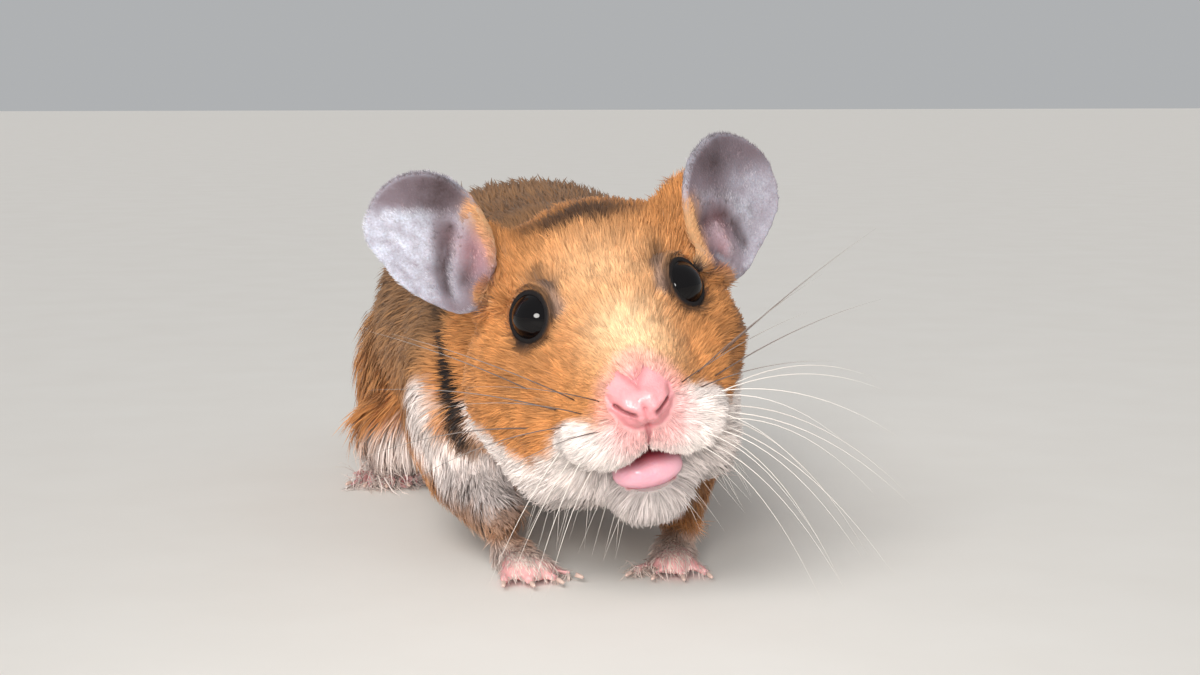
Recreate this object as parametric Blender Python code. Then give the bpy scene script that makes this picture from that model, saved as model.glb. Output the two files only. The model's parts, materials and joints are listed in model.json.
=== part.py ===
"""A golden hamster at life size, standing low on all four feet with its head lifted a little to one side.

The solids show the coat's outer surface. Soft lumps are fused into one smooth form, which is then
parted by thin gaps into the pieces a person would name: head, jaw, neck, chest, trunk, rump and legs.
Sizes are in millimetres and are turned into metres where an object is made. The hamster faces -Y, its
left side is at +X, and its soles are flat at Z = 0.
"""

import math

import bmesh
import bpy
from mathutils import Matrix, Vector

MM = 0.001
GAP = 0.3  # clear space between neighbouring pieces

# Where the head is carried: the point between the eyes, and how the head is turned about it.
EYE_POINT = (0.0, -46.0, 33.8)
HEAD_DIP = 11.5  # nose down, degrees
HEAD_LEAN = -12.0  # right ear down, degrees

# Coarseness of the fused forms: cube size in mm, smoothing steps and triangles kept.
BODY_GRAIN = dict(cube=0.8, steps=34, triangles=1500)
HEAD_GRAIN = dict(cube=0.5, steps=26, triangles=1800)
FOOT_GRAIN = dict(cube=0.28, steps=4, triangles=250)
NOSE_GRAIN = dict(cube=0.22, steps=5, triangles=170)

# Most triangles a piece keeps after it has been cut, by the first word of its name.
KEPT_TRIANGLES = dict(head=1760, lower=280, nose=260, ear=380, neck=520, chest=620, trunk=420, rump=560, tail=110,
                      upper=290, thigh=310, shank=250, forefoot=260, hindfoot=280, claw=24)

# The trunk from neck to rump as stations: y, height of the middle, half width and half height.
SPINE = ((-37, 25.5, 11.0, 12.5), (-30, 26.0, 16.0, 16.5), (-20, 25.0, 18.8, 18.2), (-8, 24.0, 20.2, 18.9),
         (6, 23.7, 22.0, 19.7), (20, 24.0, 23.2, 20.4), (34, 23.6, 23.0, 19.9), (46, 21.6, 19.6, 17.4),
         (54, 19.6, 14.2, 13.4), (58, 18.6, 8.5, 8.5))
THROAT = ((0, -34, 18.5), (11, 10, 9.0))

# The spine bends to the left behind the shoulders: this far sideways at the end of the rump.
BEND, BEND_START, BEND_LENGTH = 4.5, -20.0, 80.0

# Limb lumps of the left side; the right side mirrors them.
SHOULDER_PAD = ((14.2, -17, 18.5), (7.6, 12, 13.5))
THIGH = ((17.0, 32, 16.0), (9.3, 16.5, 14.0))
ELBOW, FOREARM, WRIST = (14.5, -22, 11.0), (12.0, -30, 7.4), (10.0, -36.5, 4.6)
ELBOW_R, FOREARM_R, WRIST_R = 5.6, 4.2, 3.1
KNEE, ANKLE = (20.0, 20, 9.5), (19.5, 33, 6.0)
KNEE_R, ANKLE_R = 7.0, 4.8

# Regions that hold one leg each, used to part it from the trunk.
FORELEG_REGION = ((14.5, -23, 11.0), (8.5, 18, 14.0))
HINDLEG_REGION = ((20.0, 30, 12.0), (10.5, 20, 16.0))

# Where the trunk is parted: a point of each cut on the middle line, from neck to tail.
NECK_CUT, CHEST_CUT, RUMP_CUT = (0, -23, 24), (0, -1, 24), (0, 24, 24)
TAIL_REGION = ((0, 64.5, 14.5), (6.5, 8.0, 7.0))
ELBOW_CUT, KNEE_CUT = (14.0, -24, 10.0), (20.0, 27, 9.0)

# Head lumps, in the head's own frame: x to its left, -y forward to the nose, z up, from the eye point.
CRANIUM = ((0, 11, -4.5), (15.0, 14, 13.4))
BROW = ((0, 3, -3.4), (9.4, 12, 8.4))
CHEEK = ((9.6, 5, -11.0), (8.9, 12.5, 10.8))
CHEEK_FRONT = ((7.6, -3, -11.0), (6.8, 8, 7.8))
JOWL = ((7.3, 1, -16.5), (8.7, 10, 7.8))
MUZZLE = ((0, -7, -7.5), (8.0, 10.3, 7.0))
WHISKER_PAD = ((4.5, -11.3, -11.2), (5.5, 5.6, 4.7))
JAW = ((0, -1, -19.0), (8.5, 9.5, 6.0))
CHIN = ((0, -6.5, -21.2), (5.8, 5.8, 4.5))
BRIDGE_TOP, BRIDGE_END = (0, -2, -2.9), (0, -13.0, -6.2)
BRIDGE_TOP_R, BRIDGE_END_R = 5.2, 3.6
EAR_BASE, EAR_BASE_TOP = (10.0, 10.5, 0.5), (13.2, 11.8, 6.0)
EAR_BASE_R, EAR_BASE_TOP_R = 6.0, 3.7

# Features of the face.
EYE_CENTRE, EYE_R = (7.9, 0.9, -0.8), 3.3
NOSE_TIP = ((0, -16.2, -7.2), (2.1, 2.3, 2.5))
NOSE_WING = ((1.8, -15.3, -6.8), (1.7, 2.2, 2.1))
NOSTRIL = ((2.3, -17.2, -7.5), (1.15, 1.0, 0.42))
NOSTRIL_SLANT = 12.0
MOUTH = ((0, -13.0, -17.2), (4.6, 6.5, 2.1))
TONGUE = ((0, -11.0, -18.1), (3.3, 3.6, 0.9))
JAW_LOW, JAW_HIGH = (-7.6, -30, -40), (7.6, 3.0, -17.6)  # what lies in this box is the lower jaw

# Each ear is a cupped oval blade: its middle, which way its length runs and which way it opens.
LEFT_EAR = dict(middle=(16.6, 8.4, 5.0), axis=(0.12, 0.30, 0.95), facing=(0.62, -0.76, 0.16))
RIGHT_EAR = dict(middle=(-17.9, 8.0, 8.3), axis=(-0.43, 0.28, 0.86), facing=(-0.36, -0.90, 0.20))
EAR_HALF_LENGTH, EAR_HALF_WIDTH = 9.0, 7.2
EAR_CUP, EAR_CURL = 2.4, 1.2
EAR_THICKNESS = 0.9

# Feet: a sole of overlapping lumps, then toes that fan out from its front edge.
FOREFOOT = dict(heel=(10.0, -36.0), front=(8.6, -41.2), width=3.3, height=2.3, toes=4, fan=50.0,
                toe_length=5.2, toe_r=1.0)
HINDFOOT = dict(heel=(20.8, 33.5), front=(21.6, 22.0), width=3.7, height=2.5, toes=5, fan=56.0,
                toe_length=6.0, toe_r=1.15)
TOE_HEIGHT = 1.05
SOLE_FLATNESS = 0.06  # whatever ends within this of the floor is set down on it
CLAW_LENGTH, CLAW_R, CLAW_TIP_R = 2.6, 0.46, 0.25

TAIL_ROOT, TAIL_END = (0, 55, 17.0), (0, 67, 13.5)
TAIL_ROOT_R, TAIL_END_R = 4.2, 1.7


def clear_scene():
    for obj in list(bpy.data.objects):
        bpy.data.objects.remove(obj, do_unlink=True)


def finish(name, colour, roughness):
    material = bpy.data.materials.new(name)
    material.use_nodes = True
    shader = material.node_tree.nodes["Principled BSDF"]
    shader.inputs["Base Color"].default_value = (*colour, 1.0)
    shader.inputs["Roughness"].default_value = roughness
    shader.inputs["Metallic"].default_value = 0.0
    return material


def head_frame():
    """Carries a point of the head's own frame, in mm, to the hamster's frame."""
    turn = Matrix.Rotation(math.radians(HEAD_DIP), 4, "X") @ Matrix.Rotation(math.radians(HEAD_LEAN), 4, "Y")
    return Matrix.Translation(EYE_POINT) @ turn


BODY_FRAME = Matrix.Identity(4)
HEAD_FRAME = head_frame()
MIRROR = Matrix.Scale(-1, 4, (1, 0, 0))


def mirrored(point, side):
    return (point[0] * side, point[1], point[2])


def bent(point):
    """Shifts a body point sideways to follow the bend of the spine."""
    along = max(0.0, (point[1] - BEND_START) / BEND_LENGTH)
    return (point[0] + BEND * along * along, point[1], point[2])


def placed(point, side=1):
    return bent(mirrored(point, side))


def new_object(name, mesh):
    obj = bpy.data.objects.new(name, mesh)
    bpy.context.scene.collection.objects.link(obj)
    return obj


def applied(obj):
    """Makes what the modifiers show the object's own mesh."""
    bpy.context.view_layer.update()
    graph = bpy.context.evaluated_depsgraph_get()
    mesh = bpy.data.meshes.new_from_object(obj.evaluated_get(graph))
    obj.modifiers.clear()
    obj.data = mesh
    return obj


def ball(centre, radii, frame=BODY_FRAME, segments=32, turn=None):
    """A stretched sphere; centre and radii in mm of the given frame."""
    bpy.ops.mesh.primitive_uv_sphere_add(segments=segments, ring_count=segments // 2, radius=1.0)
    obj = bpy.context.object
    size = Matrix.Diagonal((*radii, 1.0))
    own_turn = turn if turn is not None else Matrix.Identity(4)
    obj.data.transform(Matrix.Scale(MM, 4) @ frame @ Matrix.Translation(centre) @ own_turn @ size)
    return obj


def lump(shape, side=1, frame=BODY_FRAME):
    centre, radii = shape
    return ball(mirrored(centre, side), radii, frame)


def beads(start, end, start_r, end_r, frame=BODY_FRAME, count=7):
    """A tapering rod as overlapping balls, which the fusing turns into one smooth limb."""
    made = []
    for i in range(count):
        t = i / (count - 1)
        radius = start_r + (end_r - start_r) * t
        made.append(ball(Vector(start).lerp(Vector(end), t), (radius,) * 3, frame, segments=20))
    return made


def box(low, high, frame=BODY_FRAME):
    """A box from its lowest to its highest corner, in mm of the given frame."""
    bpy.ops.mesh.primitive_cube_add(size=1.0)
    obj = bpy.context.object
    low, high = Vector(low), Vector(high)
    size = Matrix.Diagonal((*(high - low), 1.0))
    obj.data.transform(Matrix.Scale(MM, 4) @ frame @ Matrix.Translation((low + high) / 2) @ size)
    return obj


def fuse(name, lumps, cube, steps, triangles):
    """Fuses overlapping lumps into one closed, smoothed form of about that many triangles."""
    bpy.ops.object.select_all(action="DESELECT")
    for obj in lumps:
        obj.select_set(True)
    bpy.context.view_layer.objects.active = lumps[0]
    bpy.ops.object.join()
    form = lumps[0]
    form.name = name
    remesh = form.modifiers.new("Fuse", "REMESH")
    remesh.mode = "VOXEL"
    remesh.voxel_size = cube * MM
    smooth = form.modifiers.new("Soften", "SMOOTH")
    smooth.factor = 0.5
    smooth.iterations = steps
    applied(form)
    thin_out(form, triangles)
    return form


def thin_out(obj, triangles):
    """Keeps about that many triangles, where the shape needs them most."""
    obj.data.calc_loop_triangles()
    fewer = obj.modifiers.new("Fewer", "DECIMATE")
    fewer.use_collapse_triangulate = True
    fewer.ratio = min(1.0, triangles / len(obj.data.loop_triangles))
    return applied(obj)


def copy_of(obj, name):
    return new_object(name, obj.data.copy())


def cut(obj, tool, operation, keep_tool=False):
    step = obj.modifiers.new("Cut", "BOOLEAN")
    step.operation = operation
    step.solver = "EXACT"
    step.object = tool
    applied(obj)
    if not keep_tool:
        bpy.data.objects.remove(tool, do_unlink=True)
    return obj


def grown(obj, by=GAP):
    """A copy whose surface stands out by that much, so that a neighbour cut by it keeps the gap."""
    tool = copy_of(obj, "grown")
    push = tool.modifiers.new("Grow", "DISPLACE")
    push.strength = by * MM
    push.mid_level = 0.0
    return applied(tool)


def keep_clear(obj, neighbour, by=GAP):
    return cut(obj, grown(neighbour, by), "DIFFERENCE")


def part_off(rest, name, region, wider_region):
    """Takes what lies in the region off rest, as a piece of its own with a thin gap round it."""
    piece = cut(copy_of(rest, name), region, "INTERSECT")
    cut(rest, wider_region, "DIFFERENCE")
    return piece


def part_off_ball(rest, name, shape, side=1):
    centre, radii = shape
    wider = tuple(r + GAP for r in radii)
    return part_off(rest, name, ball(placed(centre, side), radii, segments=20),
                    ball(placed(centre, side), wider, segments=20))


def part_off_beyond(rest, name, point, towards, frame=BODY_FRAME, reach=90.0):
    """Takes off what lies past a plane through point, on the side that towards shows."""
    turn = Vector((0, 0, 1)).rotation_difference(Vector(towards)).to_matrix().to_4x4()
    plane = frame @ Matrix.Translation(point) @ turn
    region = box((-reach, -reach, 0), (reach, reach, 2 * reach), plane)
    wider = box((-reach, -reach, -GAP), (reach, reach, 2 * reach), plane)
    return part_off(rest, name, region, wider)


def spine_station(t):
    """Middle, half width and half height of the trunk, t running from 0 at the neck to 1 at the rump."""
    spot = t * (len(SPINE) - 1)
    i = min(int(spot), len(SPINE) - 2)
    return [a + (b - a) * (spot - i) for a, b in zip(SPINE[i], SPINE[i + 1])]


def body_lumps():
    """Trunk, neck, tail and the legs down to wrist and ankle, as overlapping lumps."""
    lumps = [ball(placed(THROAT[0]), THROAT[1])]
    count = 4 * (len(SPINE) - 1)
    for i in range(count + 1):
        y, z, half_width, half_height = spine_station(i / count)
        lumps.append(ball(placed((0, y, z)), (half_width, 0.45 * half_width, half_height)))
    lumps += beads(placed(TAIL_ROOT), placed(TAIL_END), TAIL_ROOT_R, TAIL_END_R)
    for side in (1, -1):
        lumps += [ball(placed(centre, side), radii) for centre, radii in (SHOULDER_PAD, THIGH)]
        lumps += beads(placed(ELBOW, side), placed(FOREARM, side), ELBOW_R, FOREARM_R)
        lumps += beads(placed(FOREARM, side), placed(WRIST, side), FOREARM_R, WRIST_R)
        lumps += beads(placed(KNEE, side), placed(ANKLE, side), KNEE_R, ANKLE_R)
    return lumps


def head_lumps():
    lumps = [lump(shape, 1, HEAD_FRAME) for shape in (CRANIUM, BROW, MUZZLE, JAW, CHIN)]
    for side in (1, -1):
        lumps += [lump(shape, side, HEAD_FRAME) for shape in (CHEEK, CHEEK_FRONT, JOWL, WHISKER_PAD)]
        lumps += beads(mirrored(EAR_BASE, side), mirrored(EAR_BASE_TOP, side), EAR_BASE_R, EAR_BASE_TOP_R,
                       HEAD_FRAME)
    return lumps + beads(BRIDGE_TOP, BRIDGE_END, BRIDGE_TOP_R, BRIDGE_END_R, HEAD_FRAME)


def foot_line(plan, side):
    """The foot's middle line on the floor, as its heel, its front and its forward and sideways directions."""
    heel, front = (Vector(placed((*p, 0.0), side)) for p in (plan["heel"], plan["front"]))
    forward = (front - heel).normalized()
    return heel, front, forward, Vector((forward.y, -forward.x, 0))


def toe_ends(plan, side):
    """Root, tip and direction of each toe; the middle toes are the longest."""
    _heel, front, forward, across = foot_line(plan, side)
    count = plan["toes"]
    ends = []
    for i in range(count):
        place = i / (count - 1) - 0.5
        angle = math.radians(plan["fan"] * place)
        direction = forward * math.cos(angle) + across * math.sin(angle)
        root = front - forward * 1.2 + across * (1.5 * place * plan["width"])
        length = plan["toe_length"] * (1.0 - 0.9 * place * place)
        root.z = TOE_HEIGHT
        tip = root + direction * length
        tip.z = TOE_HEIGHT * 0.9
        ends.append((root, tip, direction))
    return ends


def foot(name, plan, side):
    heel, front, forward, _across = foot_line(plan, side)
    lumps = []
    steps = 4
    for i in range(steps):
        t = i / (steps - 1)
        centre = heel.lerp(front, t)
        width = plan["width"] * (0.82 + 0.18 * t)
        height = plan["height"] * (1.15 - 0.3 * t)
        centre.z = height * 0.8
        turn = Vector((0, 1, 0)).rotation_difference(forward).to_matrix().to_4x4()
        lumps.append(ball(centre, (width, width * 1.15, height), turn=turn))
    for root, tip, _direction in toe_ends(plan, side):
        lumps += beads(root, tip, plan["toe_r"], plan["toe_r"] * 0.92, count=6)
    form = fuse(name, lumps, **FOOT_GRAIN)
    below = box((-90, -90, -20), (90, 90, 0))
    return cut(form, below, "DIFFERENCE")


def claw(name, tip, direction):
    """A small cone that leaves the toe's tip and points slightly down."""
    bpy.ops.mesh.primitive_cone_add(vertices=7, radius1=CLAW_R * MM, radius2=CLAW_TIP_R * MM,
                                    depth=CLAW_LENGTH * MM, end_fill_type="NGON")
    obj = bpy.context.object
    obj.name = name
    aim = (direction + Vector((0, 0, -0.12))).normalized()
    turn = Vector((0, 0, 1)).rotation_difference(aim).to_matrix().to_4x4()
    centre = tip + aim * (CLAW_LENGTH * 0.35)
    obj.data.transform(Matrix.Translation(centre * MM) @ turn)
    return obj


def ear_frame(plan):
    """The ear's own frame: x across the blade, y into its opening, z along its length to the tip."""
    axis = Vector(plan["axis"]).normalized()
    facing = Vector(plan["facing"])
    facing = (facing - axis * facing.dot(axis)).normalized()
    turn = Matrix((facing.cross(axis), facing, axis)).transposed().to_4x4()
    return HEAD_FRAME @ Matrix.Translation(plan["middle"]) @ turn


def ear_point(radius, angle):
    """A point of the blade, from its middle (radius 0) to its rim (radius 1), in the ear's frame."""
    across, along = radius * math.cos(angle), radius * math.sin(angle)
    width = EAR_HALF_WIDTH * (1.0 + 0.10 * along)
    cupped = EAR_CUP * across ** 2 + EAR_CURL * max(0.0, -along) ** 2 - 0.8 * max(0.0, along) ** 2
    return (width * across, cupped, EAR_HALF_LENGTH * along)


def ear(name, plan):
    """The blade as rings of faces round its middle, given its thickness by a Solidify modifier."""
    rings, spokes = 5, 22
    points = [ear_point(0, 0)]
    points += [ear_point(ring / rings, math.tau * k / spokes) for ring in range(1, rings + 1) for k in range(spokes)]

    def at(ring, k):
        return 1 + (ring - 1) * spokes + k % spokes

    faces = [(0, at(1, k), at(1, k + 1)) for k in range(spokes)]
    faces += [(at(ring, k), at(ring + 1, k), at(ring + 1, k + 1), at(ring, k + 1))
              for ring in range(1, rings) for k in range(spokes)]
    mesh = bpy.data.meshes.new(name)
    frame = Matrix.Scale(MM, 4) @ ear_frame(plan)
    mesh.from_pydata([frame @ Vector(p) for p in points], [], faces)
    obj = new_object(name, mesh)
    wall = obj.modifiers.new("Wall", "SOLIDIFY")
    wall.thickness = EAR_THICKNESS * MM
    wall.offset = 0.0
    return applied(obj)


def nose_form():
    lumps = [lump(NOSE_TIP, 1, HEAD_FRAME)] + [lump(NOSE_WING, side, HEAD_FRAME) for side in (1, -1)]
    nose = fuse("nose", lumps, **NOSE_GRAIN)
    for side in (1, -1):
        centre, radii = NOSTRIL
        slant = Matrix.Rotation(math.radians(-NOSTRIL_SLANT * side), 4, "Y")
        cut(nose, ball(mirrored(centre, side), radii, HEAD_FRAME, 16, slant), "DIFFERENCE")
    return nose


def build_head():
    """The head with its eyes, ears, nose, open mouth, tongue and jaw; also its whole form, still uncut."""
    head = fuse("head", head_lumps(), **HEAD_GRAIN)
    whole = copy_of(head, "whole_head")
    cut(head, lump(MOUTH, 1, HEAD_FRAME), "DIFFERENCE")
    nose = nose_form()
    keep_clear(head, nose)
    eyes = {}
    ears = {}
    for side, hand, plan in ((1, "left", LEFT_EAR), (-1, "right", RIGHT_EAR)):
        eye = ball(mirrored(EYE_CENTRE, side), (EYE_R,) * 3, HEAD_FRAME, 16)
        keep_clear(head, eye, 0.2)
        eyes["eye_" + hand] = eye
        blade = ear("ear_" + hand, plan)
        ears["ear_" + hand] = keep_clear(blade, head)
    tongue = ball(TONGUE[0], TONGUE[1], HEAD_FRAME, 14)
    keep_clear(head, tongue, 0.1)
    jaw = part_off(head, "lower_jaw", box(JAW_LOW, JAW_HIGH, HEAD_FRAME),
                   box([v - GAP for v in JAW_LOW], [v + GAP for v in JAW_HIGH], HEAD_FRAME))
    return {"head": head, "lower_jaw": jaw, "nose": nose, "tongue": tongue, **eyes, **ears}, whole


def build_feet():
    """The four feet, each with its claws."""
    feet, claws = {}, {}
    for side, hand in ((1, "left"), (-1, "right")):
        for kind, plan in (("forefoot", FOREFOOT), ("hindfoot", HINDFOOT)):
            name = kind + "_" + hand
            feet[name] = foot(name, plan, side)
            for i, (_root, tip, direction) in enumerate(toe_ends(plan, side)):
                label = "claw_%s_%d" % (name, i + 1)
                claws[label] = keep_clear(claw(label, tip, direction), feet[name], 0.15)
    return feet, claws


def build_body(whole_head, feet):
    """Neck, trunk and legs, parted from one smooth form that is kept clear of the head and the feet."""
    body = fuse("body", body_lumps(), **BODY_GRAIN)
    keep_clear(body, whole_head, 1.3 * GAP)
    bpy.data.objects.remove(whole_head, do_unlink=True)
    for one in feet.values():
        keep_clear(body, one)
    pieces = {}
    for side, hand in ((1, "left"), (-1, "right")):
        for region, plane, upper, lower in ((FORELEG_REGION, ELBOW_CUT, "upper_foreleg_", "lower_foreleg_"),
                                            (HINDLEG_REGION, KNEE_CUT, "thigh_", "shank_")):
            leg = part_off_ball(body, upper + hand, region, side)
            slope = (0, -0.7, -0.7) if lower.startswith("lower") else (0, 0.7, -0.7)
            pieces[lower + hand] = part_off_beyond(leg, lower + hand, placed(plane, side), slope)
            pieces[upper + hand] = leg
    pieces["tail"] = part_off_ball(body, "tail", TAIL_REGION)
    for name, point in (("rump", RUMP_CUT), ("trunk", CHEST_CUT), ("chest", NECK_CUT)):
        pieces[name] = part_off_beyond(body, name, placed(point), (0, 1, 0))
    pieces["neck"] = body
    return pieces


def tidy(name, obj):
    """Names a piece, drops any crumb that a cut left beside its main body and thins its triangles out."""
    obj.name = obj.data.name = name
    form = bmesh.new()
    form.from_mesh(obj.data)
    unseen = set(form.verts)
    shells = []
    while unseen:
        shell, edge_of = set(), [unseen.pop()]
        while edge_of:
            vert = edge_of.pop()
            shell.add(vert)
            near = {edge.other_vert(vert) for edge in vert.link_edges} & unseen
            unseen -= near
            edge_of += near
        shells.append(shell)
    main_shell = max(shells, key=len)
    bmesh.ops.delete(form, geom=[v for shell in shells if shell is not main_shell for v in shell], context="VERTS")
    form.to_mesh(obj.data)
    form.free()
    limit = KEPT_TRIANGLES.get(name.split("_")[0])
    if limit:
        thin_out(obj, limit)
    for vert in obj.data.vertices:
        if vert.co.z < SOLE_FLATNESS * MM:
            vert.co.z = 0.0


def stand_on_origin(objects):
    """Moves the whole hamster so that the middle of its footprint is at the origin.

    Each piece then gets its own origin at the middle of its box, and smooth shading between its sharp edges.
    """
    corners = [v.co for obj in objects for v in obj.data.vertices]
    low, high = (Vector([pick(c[i] for c in corners) for i in range(3)]) for pick in (min, max))
    shift = Vector((-(low.x + high.x) / 2, -(low.y + high.y) / 2, -low.z))
    for obj in objects:
        low, high = (Vector([pick(v.co[i] for v in obj.data.vertices) for i in range(3)]) for pick in (min, max))
        middle = (low + high) / 2
        obj.data.transform(Matrix.Translation(-middle))
        obj.location = middle + shift
        obj.data.shade_smooth()
        obj.data.set_sharp_from_angle(angle=math.radians(40))
    print("moved by", tuple(round(v / MM, 3) for v in shift), "mm")


def main():
    clear_scene()
    gold = finish("golden_coat", (0.55, 0.28, 0.11), 0.9)
    white = finish("white_coat", (0.80, 0.74, 0.68), 0.9)
    pink = finish("pink_skin", (0.75, 0.36, 0.35), 0.55)
    grey = finish("ear_skin", (0.33, 0.28, 0.29), 0.6)
    horn = finish("claw_horn", (0.72, 0.62, 0.56), 0.4)
    black = finish("eye_black", (0.01, 0.008, 0.008), 0.06)
    by_kind = dict(nose=pink, tongue=pink, forefoot=pink, hindfoot=pink, tail=pink, ear=grey, claw=horn, eye=black,
                   lower=white)
    feet, claws = build_feet()
    pieces, whole_head = build_head()
    pieces.update(build_body(whole_head, feet))
    pieces.update(feet)
    pieces.update(claws)
    for name, obj in pieces.items():
        tidy(name, obj)
        obj.data.materials.clear()
        obj.data.materials.append(by_kind.get(name.split("_")[0], gold))
    stand_on_origin(pieces.values())


main()
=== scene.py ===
# %% [markdown]
# A Syrian hamster, life size, as a museum would mount it: standing still, its head raised and turned a
# little to one side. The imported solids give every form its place. They are loaded first and stay as
# they are, and each piece below is built round them, in the same frame, in metres.

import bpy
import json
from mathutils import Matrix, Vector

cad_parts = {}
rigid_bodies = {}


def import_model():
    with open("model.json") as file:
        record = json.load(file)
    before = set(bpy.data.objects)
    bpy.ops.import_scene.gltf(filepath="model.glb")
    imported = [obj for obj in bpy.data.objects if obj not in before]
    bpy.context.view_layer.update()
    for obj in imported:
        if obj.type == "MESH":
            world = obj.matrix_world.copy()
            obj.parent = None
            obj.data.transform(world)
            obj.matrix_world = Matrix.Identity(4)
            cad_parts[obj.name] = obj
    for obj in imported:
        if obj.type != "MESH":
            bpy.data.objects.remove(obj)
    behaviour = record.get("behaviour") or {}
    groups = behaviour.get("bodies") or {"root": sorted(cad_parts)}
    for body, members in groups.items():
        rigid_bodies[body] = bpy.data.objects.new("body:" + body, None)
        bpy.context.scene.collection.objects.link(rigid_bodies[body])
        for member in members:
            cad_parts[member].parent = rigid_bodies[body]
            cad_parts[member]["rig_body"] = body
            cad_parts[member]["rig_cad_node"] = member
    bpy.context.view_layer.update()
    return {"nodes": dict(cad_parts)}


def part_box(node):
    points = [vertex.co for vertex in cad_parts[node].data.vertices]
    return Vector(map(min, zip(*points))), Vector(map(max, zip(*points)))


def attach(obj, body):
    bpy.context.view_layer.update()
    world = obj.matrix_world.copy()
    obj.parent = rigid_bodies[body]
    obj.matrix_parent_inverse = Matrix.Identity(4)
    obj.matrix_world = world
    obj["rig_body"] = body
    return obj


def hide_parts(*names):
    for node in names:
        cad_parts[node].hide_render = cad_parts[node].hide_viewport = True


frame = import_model()
print("solids loaded:", len(frame["nodes"]))

# %% Tools that every step uses
import json
import math

import bpy
import numpy as np
from mathutils import Matrix, Vector

MM = 0.001
rng = np.random.default_rng(20)

# %% [markdown]
# The head leans and dips, so its features are easier to place in a frame of its own: x to the animal's
# left, y back, z up, from the point between the eyes. Two small functions carry points to and fro.
# All lengths in this file are millimetres, until a mesh takes them.

# %% The head's own frame
HEAD_DIP = math.radians(11.5)
HEAD_LEAN = math.radians(-12.0)
HEAD_POINT = np.array([-0.886, -48.369, 33.8])
dip = np.array([[1, 0, 0],
                [0, math.cos(HEAD_DIP), -math.sin(HEAD_DIP)],
                [0, math.sin(HEAD_DIP), math.cos(HEAD_DIP)]])
lean = np.array([[math.cos(HEAD_LEAN), 0, math.sin(HEAD_LEAN)],
                 [0, 1, 0],
                 [-math.sin(HEAD_LEAN), 0, math.cos(HEAD_LEAN)]])
HEAD_TURN = dip @ lean


def to_head(places):
    return (places - HEAD_POINT) @ HEAD_TURN


def from_head(places):
    return np.asarray(places, float) @ HEAD_TURN.T + HEAD_POINT


EYE_RADIUS = 3.3
HANDS = {"left": 1, "right": -1}
eye_middles = {side: from_head((7.9 * hand, 0.9, -0.8)) for side, hand in HANDS.items()}
eye_axes = {side: HEAD_TURN @ np.array([0.705 * hand, -0.584, 0.403]) for side, hand in HANDS.items()}
for side, middle in eye_middles.items():
    low, high = [np.array(corner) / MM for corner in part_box("eye_" + side)]
    print(side, "eye solid from", low.round(2), "to", high.round(2), "middle", middle.round(2))

# %% [markdown]
# Nature is never quite even. These helpers give soft-edged masks and smooth noise that is the same each
# time, from the place alone: the markings, the locks of hair and the sculpting all draw on them.

# %% Masks and noise
CORNERS = np.array([(x, y, z) for x in (0, 1) for y in (0, 1) for z in (0, 1)])


def ramp(value, low, high):
    """0 below low, 1 above high, and an S between them. It falls instead where high is the lesser."""
    share = np.clip((value - low) / (high - low), 0, 1)
    return share * share * (3 - 2 * share)


def mound(distance, reach):
    """1 where the distance is 0, falling away smoothly over the reach."""
    return np.exp(-0.5 * (distance / reach) ** 2)


def scatter(cells, salt):
    """A number from 0 to 1 for each whole-numbered cell, always the same for the same cell. Large factors
    and shifts stir the bits until the numbers of neighbours have nothing in common."""
    cells = cells.astype(np.int64)
    mixed = cells[..., 0] * 73856093 ^ cells[..., 1] * 19349663
    mixed = mixed ^ cells[..., 2] * 83492791 ^ (salt * 40503 + 977)
    for step, factor in ((13, 1274126177), (16, 668265263), (15, 374761393)):
        mixed = (mixed ^ (mixed >> step)) & 0xFFFFFFFF
        mixed = (mixed * factor) & 0xFFFFFFFF
    return ((mixed ^ (mixed >> 14)) & 0xFFFFFF) / 0xFFFFFF


def drift(places, size, salt):
    """Smooth numbers from -1 to 1 that change over about size millimetres."""
    spot = places / size
    cell = np.floor(spot)
    part = spot - cell
    part = part * part * (3 - 2 * part)
    total = np.zeros(len(places))
    for corner in CORNERS:
        total += np.prod(np.where(corner, part, 1 - part), axis=1) * scatter(cell + corner, salt)
    return total * 2 - 1


def locks(places, salt):
    """The middle of the lock of hair that each place belongs to, and the lock's own cell. Locks lie about
    one unit apart, so lengths are divided by the size of a lock beforehand."""
    base = np.floor(places - 0.5)
    least = np.full(len(places), np.inf)
    middle, owner = places.copy(), base.copy()
    for corner in CORNERS:
        cell = base + corner
        point = cell + np.stack([scatter(cell, salt + k) for k in range(3)], axis=1)
        gap = ((point - places) ** 2).sum(1)
        nearer = gap < least
        least[nearer], middle[nearer], owner[nearer] = gap[nearer], point[nearer], cell[nearer]
    return middle, owner


def unit(vectors):
    """The same directions, each with a length of 1."""
    return vectors / np.maximum(np.linalg.norm(vectors, axis=-1, keepdims=True), 1e-9)


def mirrored(places):
    """The same places with the right half laid over the left, so that one line or spot serves both."""
    return np.abs(places) * (1, 0, 0) + places * (0, 1, 1)


def gap_to(places, point, stretch=1.0):
    """Each place's distance from a point, with the lengths along each axis divided by its stretch."""
    return np.linalg.norm((places - point) / stretch, axis=1)


def from_line(places, line):
    """Each place's distance from a line of straight stretches, and how far along it is, from 0 to 1."""
    line = np.asarray(line, float)
    least, along = np.full(len(places), np.inf), np.zeros(len(places))
    for k in range(len(line) - 1):
        stretch = line[k + 1] - line[k]
        share = np.clip((places - line[k]) @ stretch / (stretch @ stretch), 0, 1)
        gap = np.linalg.norm(places - line[k] - share[:, None] * stretch, axis=1)
        nearer = gap < least
        least[nearer], along[nearer] = gap[nearer], (k + share[nearer]) / (len(line) - 1)
    return least, along


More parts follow.
